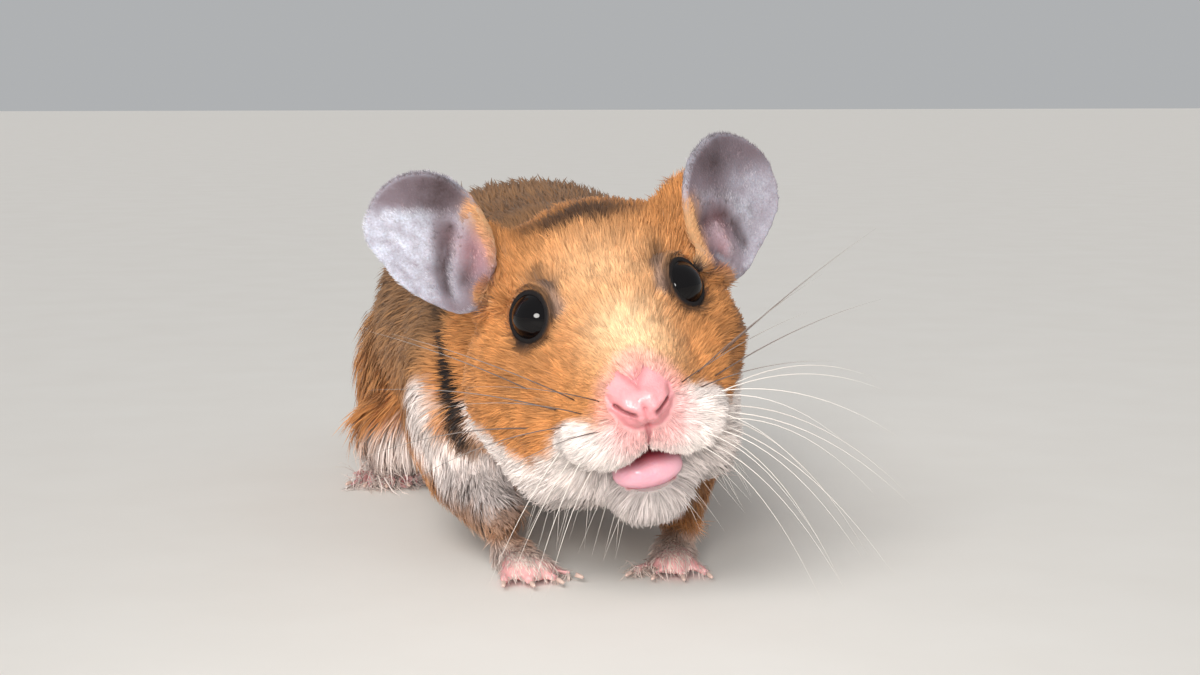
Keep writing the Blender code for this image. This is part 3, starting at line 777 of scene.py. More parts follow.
def pale_fur_and_painted_light(places, head):
    """Pale gold on the bridge of the nose and on the forehead, partly the fur's own and partly painted light
    where the lamp falls most fully, and where fur grows over the ears' edges.
    """
    # Painted light: the bridge and forehead are lightened where light falls most fully on the face's middle.
    shares = [0.95 * mound(gap_to(head, (0.8, -9.0, -1.0), (1.0, 1.5, 1.0)), 3.6),
              0.45 * mound(gap_to(head, (0, -1, 4)), 5.5)]
    for plan in EARS.values():
        across, up, _, leaf = on_ear(places, plan)
        shares.append(0.35 * leaf * furred_edge(across, up))
    return np.maximum.reduce(shares)


def brown_fur_and_shade(places, head, ruffle, belly, behind):
    """Brown on the left cheek, partly its fur and partly painted shade, painted shade under the eyes, and
    brown on the crown, on the right foreleg, and more up the back.
    """
    # The left cheek is browner partly as painted shade, since that side is turned from the light.
    cheek = ramp(head[:, 0] + 0.8 * ruffle, 6.5, 15.5) * ramp(head[:, 1], 15, 3) * ramp(head[:, 2], 4, -7)
    high = ramp(places[:, 2], 16, 42)
    back = behind * (0.16 + 0.42 * high + 0.18 * drift(places, 9, 14)) * (1 - belly)
    return np.maximum.reduce([0.6 * cheek, back,
                              0.55 * mound(gap_to(head, (0, 12, 6), (1.6, 1, 1)), 5.0),
                              # Under the eyes the brown is painted shade.
                              0.42 * mound(gap_to(mirrored(head), (11.5, -3.0, -5.5), (1.4, 1, 1)), 2.6),
                              0.3 * mound(gap_to(places, (-13.5, -36, 7)), 4.5)])


def markings(places):
    """The masks that colour both skin and coat, each from 0 to 1."""
    head = to_head(places)
    ruffle = 0.55 * drift(places, 1.6, 11) + 0.3 * drift(places, 0.6, 12)
    on_face = ramp(head[:, 1], 15.5, 13.0) * ramp(head[:, 2], -29, -25)
    beside = ramp(np.abs(head[:, 0]), 7.0, 10.0)
    behind = ramp(head[:, 1], 16, 24)
    belly = white_belly(places)
    forelegs = ramp(from_line(mirrored(places), FORELEG_LINE)[0], 7.5, 5.0)
    crescent = 0.95 * ramp(on_side(head, NECK_CRESCENT)[0] + 1.3 * ruffle, 4.5, 2.4) * beside
    tail = ramp(gap_to(places, (0, 64, 13)), 5.5, 2.5)
    paws = ramp(places[:, 2], 5.0, 2.5)
    cream = ramp(sided(head, GOLD_EDGE) - head[:, 2] + 1.3 * ruffle, -0.9, 1.1) * on_face
    cream = np.maximum(cream, 0.9 * belly) * (1 - 0.8 * forelegs)
    cream = np.maximum.reduce([cream, crescent, 0.6 * tail, 0.8 * paws])
    black = black_fur_and_shade(places, head, ruffle, beside)
    ticking = np.maximum(behind * ramp(places[:, 2], 8, 30), 0.3 * forelegs * (1 - crescent))
    masks = dict(cream=cream * (1 - black), black=black, pink=pink_fur(places, head, ruffle),
                 grey=painted_grey_shade(places, head, ruffle, on_face), bright=pale_fur_and_painted_light(places, head),
                 brown=brown_fur_and_shade(places, head, ruffle, belly, behind), ticking=ticking)
    return {name: np.clip(mask, 0, 1) for name, mask in masks.items()}


# %% [markdown]
# Where no fur grows, the skin shows its own colours: pink on the nose, the lips, the toes and the soles,
# dark on the lids, and dark red in the mouth and nostrils, partly their own and partly painted shade. The
# nose's creases and the lip's groove get painted shade. The ears wear only a fine down. The right one has a
# broad silver bloom with a slanting upper edge, and the left one only a faint bloom with a dusky tip: the
# bloom is partly the down's silver and partly painted sheen, and the dusky tip and the ears' folds are
# painted shade.

# %% The bare parts
LIP_FRONT = -12.3
PAD_HEIGHTS = (-10.4, -9.7, -7.2, -5.6, -4.5, -3.7, -3.2)
PAD_HALF_WIDTHS = (0, 2.0, 3.5, 3.3, 2.6, 1.7, 0.2)


def in_mouth(head):
    """The opening between the lips, from a slope that runs back from the upper lip's edge to the lower's."""
    slope = head[:, 1] - LIP_FRONT - 0.42 * (-14 - head[:, 2])
    width = 4.3 - 0.6 * np.maximum(-17.2 - head[:, 2], 0)
    inside = ramp(slope, -0.3, 0.3) * ramp(np.abs(head[:, 0]) - width, 0.3, -0.3) * ramp(head[:, 1], -2, -4)
    return inside * ramp(head[:, 2], -20.0, -19.4) * ramp(head[:, 2], -12.9, -13.5)


def nose_pad(head):
    """The nose's bare pad, widest at the nostrils, with a notch in the middle of its upper edge."""
    side = np.abs(on_nose(head)[:, 0])
    half_width = np.interp(head[:, 2], PAD_HEIGHTS, PAD_HALF_WIDTHS)
    wedge = ramp(side - 0.9 * (head[:, 2] + 4.7), -0.6, 0.7)
    pad = ramp(side - half_width, 0.8, -0.5) * ramp(head[:, 1], -11.8, -12.8)
    pad = pad * np.where(head[:, 2] > -5.0, wedge, 1)
    return pad * (1 - 0.3 * ramp(head[:, 2], -7.0, -5.0))


def bare_parts(places, outward):
    """Masks for the nose and its groove, the mouth, the soles, the toes and the lids."""
    head = to_head(places)
    groove = ramp(np.abs(on_nose(head)[:, 0]), 0.34, 0.2) * ramp(head[:, 1], -12, -13)
    groove = groove * ramp(head[:, 2], -15.2, -14.6) * ramp(head[:, 2], -9, -9.6)
    soles = ramp(places[:, 2], 1.0, 0.5) * ramp(outward[:, 2], -0.2, -0.6)
    toes, lid = np.zeros(len(places)), np.zeros(len(places))
    for spot in TOE_SPOTS:
        toes = np.maximum(toes, ramp(gap_to(places, spot), 7.0, 4.0) * ramp(places[:, 2], 4.5, 1.8))
    for side in eye_middles:
        gap, angle = from_eye(places, side)
        on_lid = ramp(angle, LID_ANGLE + 0.18, LID_ANGLE + 0.07) * (gap <= EYE_RADIUS + 1.6)
        lid = np.maximum(lid, on_lid)
    return dict(pad=nose_pad(head), groove=groove, mouth=in_mouth(head), soles=soles, toes=toes, lid=lid)


def ear_sheen_and_shade(across, up, side):
    """The silver bloom of one ear's hollow, partly its silvery down and partly painted sheen, and painted
    shade in the hollow and at the tip, laid out as the light falls on that ear.
    """
    if side == "left":
        bloom_and_sheen = 0.34 * ramp(across, 0.3, -0.5) * ramp(up, 0.75, 0.3)
        tip = mound(np.hypot((across - 0.35) / 1.5, up - 0.55), 0.17)
        return bloom_and_sheen, 0.24 * ramp(up, 0.4, 0.62) + 0.5 * tip
    top = np.interp(across, (-0.9, -0.3, 0.0, 0.2, 0.42, 0.6), (0.85, 0.64, 0.52, 0.44, 0.24, 0.1))
    band = np.interp(up, (-0.7, -0.3, 0.0, 0.3, 0.5), (-0.5, -0.2, 0.05, 0.35, 0.5))
    soft = 0.3 * ramp(across, 0.1, -0.4)
    bloom_and_sheen = ramp(up - top, 0.06 + soft, -0.05) * ramp(across - band, 0.12, -0.25)
    painted_ear_shade = (0.08 + 0.2 * ramp(across, -0.1, 0.5)) * ramp(up - top - soft, 0.0, 0.14)
    tip = mound(np.hypot((across - 0.55) / 1.4, up - 0.48), 0.22)
    return bloom_and_sheen * (0.7 * (0.5 + 0.5 * ramp(up, -0.8, 0.2))), painted_ear_shade + 0.5 * tip


def ear_tones(places):
    """Masks for the ears: where they are bare, their silver bloom with painted sheen, pink inner hollow, and
    painted shade in their folds and hollow.
    """
    speckle, patches = drift(places, 0.8, 21), drift(places, 1.2, 22)
    ears = []
    for side, plan in EARS.items():
        across, up, height, leaf = on_ear(places, plan)
        inside = leaf * ramp(height, -0.2, 0.1)
        furred = furred_edge(across, up)
        valley, deep = fold_gaps(across, up, EAR_VALLEYS[side])
        ridge, brow = fold_gaps(across, up, EAR_RIDGES[side])
        bloom_and_sheen, painted_ear_shade = ear_sheen_and_shade(across, up, side)
        bloom_and_sheen = bloom_and_sheen * (0.95 + 0.5 * speckle) + 0.34 * mound(ridge, 0.09) + 0.2 * mound(brow, 0.08)
        # Painted shade in the folds' valleys.
        painted_ear_shade = np.maximum.reduce([painted_ear_shade, 0.85 * mound(valley, 0.085), 0.7 * mound(deep, 0.06)])
        rim = 0.5 * ramp(np.hypot(across, up), 0.92, 1.0)
        rear = 0.3 * ramp(height, 0.0, -0.3) * (1 + 0.5 * speckle)
        silver = np.maximum.reduce([inside * bloom_and_sheen, leaf * rim, leaf * rear]) * (1 - furred)
        ears.append(dict(bare=leaf * (1 - furred), silver=np.clip(silver, 0, 1),
                         concha=inside * concha_share(across, up, side),
                         painted_ear_shade=inside * painted_ear_shade * (1 + 0.3 * patches) * (1 - furred)))
    return {name: np.maximum(ears[0][name], ears[1][name]) for name in ears[0]}


def keep_masks(piece, name, *channels):
    """Four masks kept on the mesh's points as one colour attribute."""
    attribute = piece.data.attributes.new(name, "FLOAT_COLOR", "POINT")
    attribute.data.foreach_set("color", np.stack(channels, axis=1).astype(np.float32).ravel())


MARKING_NAMES, SHADE_NAMES = ("cream", "black", "pink", "grey"), ("bright", "brown", "ticking")
places, outward = places_of(skin), normals_of(skin)
coat_depth = coat_at(places)[0]
marks = markings(places + outward * coat_depth[:, None])
bare = bare_parts(places, outward)
ears = ear_tones(places)
keep_masks(skin, "markings", *[marks[name] for name in MARKING_NAMES])
keep_masks(skin, "shade", *[marks[name] for name in SHADE_NAMES], np.full(len(places), 0.5))
head = to_head(places)
# The nostril slits are dark red, partly their own colour and partly painted shade, and the wing creases get
# painted shade.
slit = nose_line_gap(on_nose(head), NOSTRIL)
crease = nose_line_gap(on_nose(head), WING_CREASE)
nostril = np.maximum(mound(slit, 0.26), 0.34 * mound(crease, 0.28)) * ramp(head[:, 1], -12.5, -14)
nose_top = ramp(gap_to(head, (0, -15.3, -4.6)), 4.8, 3.4)
flesh = np.maximum.reduce([bare["pad"], 0.9 * bare["groove"], bare["mouth"], bare["soles"],
                           0.6 * bare["toes"], 0.2 * ears["concha"], 0.85 * nose_top])
# Painted shade in the nose's furrows, stronger where the sculpting cut deeper.
painted_furrow_shade = 0.34 * np.clip(-nose_relief / 0.35, 0, 1) * nose_top
under_nose = 0.24 * bare["pad"] * ramp(head[:, 2], -6.0, -9.0)
# The dark mask: black lids; painted shade in the lip's groove, the nose's furrows and the ears' folds; the
# mouth and nostrils partly their own dark red and partly painted shade; and the pad darker towards its
# bottom.
dark = np.maximum.reduce([bare["lid"], 0.8 * bare["mouth"], 0.35 * bare["groove"], ears["painted_ear_shade"],
                          0.8 * nostril, painted_furrow_shade, under_nose])
keep_masks(skin, "bare", flesh, dark, ears["bare"], ears["silver"])
cream_share, black_share = marks["cream"].mean().round(3), marks["black"].mean().round(3)
print("share of the skin that is cream", cream_share, "black", black_share)

# %% [markdown]
# Shader maths reads best as ordinary arithmetic. This small class wraps a node's output and gives it
# +, - and *, so that a line of Python adds the Math nodes. One method adds any other kind of node.

# %% Shader maths
class Thread:
    """One output in a material's node tree."""

    def __init__(self, tree, socket):
        self.tree, self.socket = tree, socket

    def node(self, kind, settings, inputs, output=0):
        """A new node with its settings made and its sockets linked or set, as the thread of one output."""
        new = self.tree.nodes.new("ShaderNode" + kind)
        for name, value in settings.items():
            setattr(new, name, value)
        for name, value in inputs.items():
            if isinstance(value, Thread):
                self.tree.links.new(value.socket, new.inputs[name])
            else:
                new.inputs[name].default_value = value
        return Thread(self.tree, new.outputs[output])

    def maths(self, operation, first, second):
        return self.node("Math", {"operation": operation}, {0: first, 1: second})

    def __add__(self, other):
        return self.maths("ADD", self, other)

    def __sub__(self, other):
        return self.maths("SUBTRACT", self, other)

    def __mul__(self, other):
        return self.maths("MULTIPLY", self, other)

    def __rsub__(self, other):
        return self.maths("SUBTRACT", other, self)

    __radd__, __rmul__ = __add__, __mul__

    def between(self, low, high):
        """A colour that goes from low to high as this number goes from 0 to 1."""
        return self.node("Mix", {"data_type": "RGBA", "clamp_factor": True}, {0: self, 6: low, 7: high}, 2)

    def blend(self, colour, share, way="MIX"):
        """This colour, mixed with another by a share from 0 to 1."""
        settings = {"data_type": "RGBA", "blend_type": way, "clamp_factor": True}
        return self.node("Mix", settings, {0: share, 6: self, 7: colour}, 2)


def colour(red, green, blue):
    """A colour as a paint chart gives it, from 0 to 255, as the amounts of light that a shader wants."""
    levels = [level / 255 for level in (red, green, blue)]
    return tuple(v / 12.92 if v <= 0.04045 else ((v + 0.055) / 1.055) ** 2.4 for v in levels) + (1,)


def new_material(name, **constants):
    """A material, a thread to start from, and its main shader, which takes what is the same all over."""
    material = bpy.data.materials.new(name)
    material.use_nodes = True
    shader = material.node_tree.nodes["Principled BSDF"]
    for socket, value in constants.items():
        shader.inputs[socket.replace("_", " ")].default_value = value
    start = material.node_tree.nodes.new("ShaderNodeTexCoord")
    return material, Thread(material.node_tree, start.outputs["Object"]), shader


def feed(shader, **sockets):
    """Links threads to the shader, for what changes over the surface."""
    for name, thread in sockets.items():
        thread.tree.links.new(thread.socket, shader.inputs[name.replace("_", " ")])


def masks_from(thread, name):
    """The four masks of a colour attribute."""
    attribute = thread.tree.nodes.new("ShaderNodeAttribute")
    attribute.attribute_name = name
    colours = Thread(thread.tree, attribute.outputs["Color"])
    split = thread.tree.nodes.new("ShaderNodeSeparateColor")
    thread.tree.links.new(colours.socket, split.inputs[0])
    return [Thread(thread.tree, socket) for socket in (*split.outputs, attribute.outputs["Alpha"])]


# %% [markdown]
# One set of nodes turns the masks into fur colours, for skin and coat alike: gold first, then its light and
# dark shades, partly painted light and shade, and the markings over it in order, with grey as painted shade.

# %% The colours of the fur
GOLD, DEEP_GOLD, PEACH = colour(224, 156, 94), colour(172, 104, 50), colour(255, 220, 176)
BROWN, BLACK, CREAM = colour(120, 80, 46), colour(40, 30, 27), colour(247, 236, 231)
ROSE, SHADE_GREY, FAWN = colour(255, 190, 188), colour(140, 128, 128), colour(204, 164, 122)


def fur_colour(thread):
    """The fur's colour, with the masks that hairs also need: each one's own tint, and the ticking."""
    cream, black, pink, grey = masks_from(thread, "markings")
    bright, brown, ticking, tint = masks_from(thread, "shade")
    patches = thread.node("TexNoise", {}, {"Vector": thread, "Scale": 420.0, "Detail": 3.0})
    base = (patches * 0.55).between(GOLD, DEEP_GOLD).blend(FAWN, ticking * 0.6)
    # Peach: paler fur, partly painted light on the bridge and forehead.
    base = base.blend(PEACH, bright)
    # Brown: brown fur, with painted shade on the left cheek and under the eyes.
    base = base.blend(BROWN, brown)
    base = base.blend(CREAM, cream)
    # Grey: painted shade on the throat, under the jaw and at the inner lids.
    base = base.blend(SHADE_GREY, grey)
    base = base.blend(ROSE, pink)
    return base.blend(BLACK, black), tint, ticking


# %% [markdown]
# The bare skin is pink on the nose, lips and toes, dark on the lids, and grey-mauve on the ears, with a
# silver bloom towards their outer edge that is partly painted sheen. Under the fur it takes the fur's
# colours, darkened as painted shade under the coat, and painted shade darkens the nose's creases, the lip's
# groove, the mouth and the ears' folds. A living skin lets some light in, so it has a little subsurface
# scattering, and fine pores come from a bump.

# %% The skin's material
PINK_SKIN, LID_SKIN = colour(246, 172, 177), colour(17, 12, 13)
# The ears' bloom colour is partly painted sheen; their dusky colour is painted shade.
EAR_SKIN, EAR_BLOOM_AND_SHEEN, PAINTED_EAR_SHADE = colour(122, 108, 116), colour(214, 217, 232), colour(60, 44, 46)
material, thread, shader = new_material(
    "hamster_skin", Subsurface_Weight=0.15, Subsurface_Scale=0.0012, Subsurface_Radius=(1.0, 0.35, 0.25),
    Specular_IOR_Level=0.45, Coat_Roughness=0.16)
fur, _, _ = fur_colour(thread)
flesh_mask, dark_and_shade_mask, ear_mask, silver_mask = masks_from(thread, "bare")
blotches = thread.node("TexNoise", {}, {"Vector": thread, "Scale": 900.0, "Detail": 4.0, "Roughness": 0.6})
pores = thread.node("TexVoronoi", {"feature": "F1"}, {"Vector": thread, "Scale": 4200.0})
down = thread.node("TexNoise", {}, {"Vector": thread, "Scale": 3600.0, "Detail": 2.0, "Roughness": 0.7})
# Under the fur the skin takes the fur's colour, darkened by a quarter: painted shade under the coat.
look = fur.blend(colour(0, 0, 0), 0.25)
look = look.blend(EAR_SKIN, ear_mask)
# The ears' silver bloom, partly painted sheen, then painted shade in their folds and hollow.
look = look.blend(EAR_BLOOM_AND_SHEEN, silver_mask * (down * 1.5 + 0.15))
look = look.blend(PAINTED_EAR_SHADE, ear_mask * dark_and_shade_mask * (down * 0.7 + 0.65))
look = look.blend(PINK_SKIN, flesh_mask)
look = look.blend(colour(226, 112, 122), flesh_mask * blotches * 0.4)
# Dark red on the bare flesh: painted shade in the nose's creases and the lip's groove, with the mouth and
# nostrils partly their own colour and partly painted shade.
look = look.blend(colour(110, 28, 36), dark_and_shade_mask * flesh_mask * (1 - ear_mask))
look = look.blend(LID_SKIN, dark_and_shade_mask * (1 - flesh_mask) * (1 - ear_mask))
sheen = 0.72 - flesh_mask * 0.42 + blotches * 0.1
grain = pores + down + blotches * 0.8
pits = thread.node("Bump", {}, {"Strength": 0.45, "Distance": 0.00007, "Height": grain})
wet = flesh_mask * (1 - ear_mask) * (down * 0.9)
feed(shader, Base_Color=look, Roughness=sheen, Coat_Weight=wet, Normal=pits)
skin.data.materials.append(material)

# %% [markdown]
# The unwrap of the skin's own shape gives each tuft its place on a map, which the coat keeps as its own
# unwrap.

# %% Unwrap the skin
pick(skin)
bpy.ops.object.mode_set(mode="EDIT")
bpy.ops.mesh.select_all(action="SELECT")
bpy.ops.uv.smart_project(angle_limit=math.radians(66), island_margin=0.002)
bpy.ops.object.mode_set(mode="OBJECT")
skin.data.uv_layers[0].name = "OFBake"
print("skin unwrapped")

# %% [markdown]
# Hair lies back from the nose, sweeps over the crown and down the flanks, runs down each leg to the toes,
# and parts round the eyes. This field of directions decides how a coat looks more than anything else.

# %% The lie of the coat
# Each left limb's start, end and reach, told from the head point's x, where the right ones are mirrored.
LIMBS = [
    ((17.0, -18.4, 20), (14.5, -24.4, 11), 5.0), ((14.5, -24.4, 11), (10.2, -38.4, 4.8), 3.6),
    ((10.0, -38.5, 3.0), (8.6, -48.5, 1.0), 3.0), ((19.0, 24.0, 20), (20.0, 18.0, 9.5), 5.0),
    ((20.0, 18.0, 8.5), (19.5, 30.0, 5.5), 3.2), ((20.6, 31.5, 3.5), (21.6, 14.0, 1.0), 3.2),
    ((0.0, 52.0, 18), (0.0, 64.6, 13.5), 3.0)]


def lie_of_coat(places, outward):
    """The way that the hair points at each place, along the surface."""
    head = to_head(places)
    even = mirrored(head)
    way = unit(head - (0, -19.5, -6.5)) + ramp(head[:, 1], -8, 8)[:, None] * (0, 0.5, 0)
    way = way - (ramp(even[:, 0], 6, 14) * ramp(head[:, 2], 3, -6))[:, None] * (0, 0, 0.35)
    way = way @ HEAD_TURN.T
    down = ramp(np.abs(outward[:, 0]), 0.15, 0.9) * ramp(places[:, 1], -40, -10)
    body = np.array([0, 1, 0]) - 0.75 * down[:, None] * (0, 0, 1)
    share = ramp(head[:, 1], 12, 22)[:, None]
    way = unit(way) * (1 - share) + unit(body) * share
    for start, end, reach in LIMBS:
        for hand in HANDS.values():
            first, last = [np.array(point) * (hand, 1, 1) + (HEAD_POINT[0], 0, 0) for point in (start, end)]
            gap = from_line(places, (first, last))[0]
            pull = 3.0 * (mound(gap, reach) * ramp(gap, 2.4 * reach, reach))
            way = way + pull[:, None] * unit(last - first)
    for plan in EARS.values():
        across, up, _, leaf = on_ear(places, plan)
        spread = plan["turn"][:, 2] + 0.6 * (across * plan["inward"])[:, None] * plan["turn"][:, 0]
        spread = spread - (1.5 * plan["inward"] * furred_edge(across, up))[:, None] * plan["turn"][:, 0]
        way = way * (1 - leaf[:, None]) + leaf[:, None] * spread
    for middle in eye_middles.values():
        gap = gap_to(places, middle)
        round_eye = 0.9 * mound(gap - EYE_RADIUS, 1.0) * (gap < EYE_RADIUS + 3)
        way = way + round_eye[:, None] * unit(places - middle)
    return unit(way - (way * outward).sum(1, keepdims=True) * outward)


# %% [markdown]
# A hair that starts straight would leave a rounded flank like a spine. So each tuft bends as the body does
# below it: how fast the surface turns along the lie is measured once at every point of the skin.

# %% How the body bends along the lie
edges = np.empty(len(skin.data.edges) * 2, np.int64)
skin.data.edges.foreach_get("vertices", edges)
ends = np.concatenate([edges.reshape(-1, 2), edges.reshape(-1, 2)[:, ::-1]])
count = len(places)
outward = normals_of(skin)
lie = lie_of_coat(places, outward)
step = places[ends[:, 1]] - places[ends[:, 0]]
turn = outward[ends[:, 1]] - outward[ends[:, 0]]
ahead = (step * lie[ends[:, 0]]).sum(1)
top = np.bincount(ends[:, 0], (turn * lie[ends[:, 0]]).sum(1) * ahead, count)
bend = top / np.maximum(np.bincount(ends[:, 0], ahead ** 2, count), 1e-6)
bend = np.clip(bend, -0.08, 0.3)
neighbours = np.bincount(ends[:, 0], minlength=count)
for _ in range(12):
    bend = 0.4 * bend + 0.6 * np.bincount(ends[:, 0], bend[ends[:, 1]], count) / neighbours
print("the skin bends from", bend.min().round(3), "to", bend.max().round(3), "per mm")

# %% [markdown]
# Now the coat. A tuft is a thin blade that tapers to a point: two faces for a short one, three for a long
# one. Roots are scattered over the skin as thickly as the table says. Each tuft then takes its way from
# the lie, its length and rise from the table, and a share of its lock: tufts of one lock lean to the
# lock's middle and are tinted alike, which is what makes fur look combed by life and not by machine.

# %% Scatter the roots
def corners_of(piece):
    """The points and the unwrap's corners of each triangle."""
    piece.data.calc_loop_triangles()
    count = len(piece.data.loop_triangles)
    points, loops = np.empty(count * 3, np.int64), np.empty(count * 3, np.int64)
    piece.data.loop_triangles.foreach_get("vertices", points)
    piece.data.loop_triangles.foreach_get("loops", loops)
    return points.reshape(-1, 3), loops.reshape(-1, 3)


points, loops = corners_of(skin)
flat_places = np.empty(len(skin.data.loops) * 2)
skin.data.uv_layers["OFBake"].data.foreach_get("uv", flat_places)
flat_places = flat_places.reshape(-1, 2)
first, second, third = places[points[:, 0]], places[points[:, 1]], places[points[:, 2]]
areas = np.linalg.norm(np.cross(second - first, third - first), axis=1) / 2
middles = (first + second + third) / 3
grows = 1 - np.maximum.reduce([bare[part] for part in ("pad", "groove", "mouth", "soles", "lid")])
grows *= 1 - 0.55 * bare["toes"]
wanted = areas * coat_at(middles)[2] * ramp(grows[points].mean(1), 0.35, 0.75)
number = np.floor(wanted + rng.random(len(wanted))).astype(int)
which = np.repeat(np.arange(len(number)), number)
u, v = rng.random(len(which)), rng.random(len(which))
over = u + v > 1
u[over], v[over] = 1 - u[over], 1 - v[over]
share = np.stack([1 - u - v, u, v], axis=1)[:, :, None]
roots = (places[points[which]] * share).sum(1)
root_out = unit((outward[points[which]] * share).sum(1))
root_flat = (flat_places[loops[which]] * share).sum(1)
root_bend = (bend[points[which]] * share[:, :, 0]).sum(1)
print("skin area", round(areas.sum()), "square mm;", len(roots), "tufts")

# %% Give each tuft its length, rise and way
depth, length, _ = coat_at(roots)
way = lie_of_coat(roots, root_out)
size = np.clip(0.45 + 0.26 * length, 0.55, 2.6)
lock_middle, lock_cell = locks(roots / size[:, None], 31)
lock_tint, lock_yaw, lock_rise = [scatter(np.round(lock_cell), salt) for salt in (41, 42, 43)]
toward = lock_middle * size[:, None] - roots
toward -= (toward * root_out).sum(1, keepdims=True) * root_out
loose = rng.random((len(roots), 5))
length = length * (0.72 + 0.5 * loose[:, 0])
rise = np.maximum(depth, 0.07) * (0.55 + 0.45 * loose[:, 1] + 0.35 * lock_rise)
rise = np.minimum(rise, 0.55 * length)
yaw = 0.30 * (lock_yaw - 0.5) + 0.42 * (loose[:, 2] - 0.5) + 0.22 * drift(roots, 6.0, 51)
across = np.cross(way, root_out)
way = way * np.cos(yaw)[:, None] + across * np.sin(yaw)[:, None]
roll = 1.3 * (loose[:, 3] - 0.5)
width = (0.072 + 0.019 * length) * (0.8 + 0.4 * loose[:, 4])
pull = np.clip(0.18 + 0.035 * length, 0.15, 0.5)
ROOT_DEPTH = 0.06  # each root is sunk this far into the skin


def blade(t):
    """The middle of each tuft's blade, a share t of the way to its tip, and the way across the blade."""
    run = np.sqrt(length ** 2 - rise ** 2) * t
    angle = root_bend * run
    bent = np.abs(root_bend) > 1e-4
    divisor = np.where(root_bend == 0, 1, root_bend)
    straight = np.where(bent, np.sin(angle) / divisor, run)
    fall = np.where(bent, (1 - np.cos(angle)) / divisor, 0)
    out = root_out * np.cos(angle)[:, None] + way * np.sin(angle)[:, None]
    on = way * np.cos(angle)[:, None] - root_out * np.sin(angle)[:, None]
    middle = roots + way * straight[:, None] - root_out * fall[:, None]
    middle = middle + out * (rise * (1 - (1 - t) ** 1.8) - ROOT_DEPTH)[:, None]
    middle = middle + toward * (pull * t ** 1.3)[:, None]
    side = np.cross(on, out)
    return middle, side * np.cos(roll)[:, None] + out * np.sin(roll)[:, None]


seen = blade(0.7)[0]
tip = blade(1.0)[0]
clear = np.ones(len(roots), bool)
for spot in (seen, tip):
    for side in eye_middles:
        gap, angle = from_eye(spot, side)
        clear &= ~((angle < LID_ANGLE + 0.06) & (gap < EYE_RADIUS + 2.5))
    spot_head = to_head(spot)
    clear &= nose_pad(spot_head) < 0.15 + 0.75 * loose[:, 2]
    opening = gap_to(spot_head[:, [0, 2]], (0, -17.0), (4.5, 2.6)) < 1
    clear &= ~(opening & (spot_head[:, 1] > -14.6) & (spot_head[:, 1] < -3))
print("tufts kept clear of eyes, nose and mouth:", int((~clear).sum()))

# %% [markdown]
# The blades become meshes in one go, as arrays of points and faces. They are shared out by region, so
# that no piece has too many. Each keeps the masks of the place where its hair shows, how far along the
# blade a point lies, and its patch of the unwrap.

# %% Build the coat's pieces
coat_marks = markings(seen)
head_roots = to_head(roots)
ear_softness = bare_ear_share(roots)
ear_roots = ear_softness > 0.5
root_tones = ear_tones(roots)
tint = np.clip(0.5 + 0.6 * (lock_tint - 0.5) + 0.55 * (rng.random(len(roots)) - 0.5), 0, 1)
long_tuft = length > 2.5
PATCH = 0.003  # each tuft's patch of the unwrap is this wide and this high
FLOOR_GAP = 0.03  # no tuft comes nearer to the floor


def build_coat(name, rows, steps):
    """One mesh of some tufts, each with a pair of points at every step and one point at its tip."""
    pairs = len(steps)
    per = 2 * pairs + 1
    places = np.empty((len(rows), per, 3))
    flat = np.empty((len(rows), per, 2))
    along = np.empty((len(rows), per))
    for k, t in enumerate(steps):
        middle, side = blade(t)
        half = side[rows] * (width[rows] * (0.5 if t < 0.5 else 0.38))[:, None]
        places[:, 2 * k], places[:, 2 * k + 1] = middle[rows] - half, middle[rows] + half
        flat[:, 2 * k] = root_flat[rows] + PATCH * np.array([-0.5, t - 0.5])
        flat[:, 2 * k + 1] = root_flat[rows] + PATCH * np.array([0.5, t - 0.5])
        along[:, 2 * k] = along[:, 2 * k + 1] = t
    places[:, -1] = tip[rows]
    flat[:, -1] = root_flat[rows] + (0, PATCH / 2)
    along[:, -1] = 1
    places[..., 2] = np.maximum(places[..., 2], FLOOR_GAP)
    faces = [(2 * k, 2 * k + 1, 2 * k + 3, 2 * k + 2) for k in range(pairs - 1)]
    faces.append((per - 3, per - 2, per - 1))
    corners = np.concatenate([np.array(face) for face in faces])
    loops = (np.arange(len(rows))[:, None] * per + corners).ravel()
    sizes = np.tile([len(face) for face in faces], len(rows))
    mesh = bpy.data.meshes.new(name)
    mesh.vertices.add(len(rows) * per)
    mesh.vertices.foreach_set("co", (places * MM).ravel())
    mesh.loops.add(len(loops))
    mesh.loops.foreach_set("vertex_index", loops)
    mesh.polygons.add(len(sizes))
    mesh.polygons.foreach_set("loop_start", np.concatenate([[0], np.cumsum(sizes)[:-1]]))
    mesh.uv_layers.new(name="OFBake").data.foreach_set("uv", flat.reshape(-1, 2)[loops].ravel())
    mesh.update(calc_edges=True)
    piece = bpy.data.objects.new(name, mesh)
    bpy.context.scene.collection.objects.link(piece)

    def spread(*masks):
        """Each mask's values for these tufts, on all of their points."""
        return [np.repeat(mask[rows], per) for mask in masks]

    keep_masks(piece, "markings", *spread(*[coat_marks[mask] for mask in MARKING_NAMES]))
    keep_masks(piece, "shade", *spread(*[coat_marks[mask] for mask in SHADE_NAMES], tint))
    keep_masks(piece, "hair", along.ravel(), *spread(ear_softness, root_tones["silver"], root_tones["painted_ear_shade"]))
    triangles = len(rows) * (2 * pairs - 1)
    print(name, len(rows), "tufts,", triangles, "triangles")
    return piece


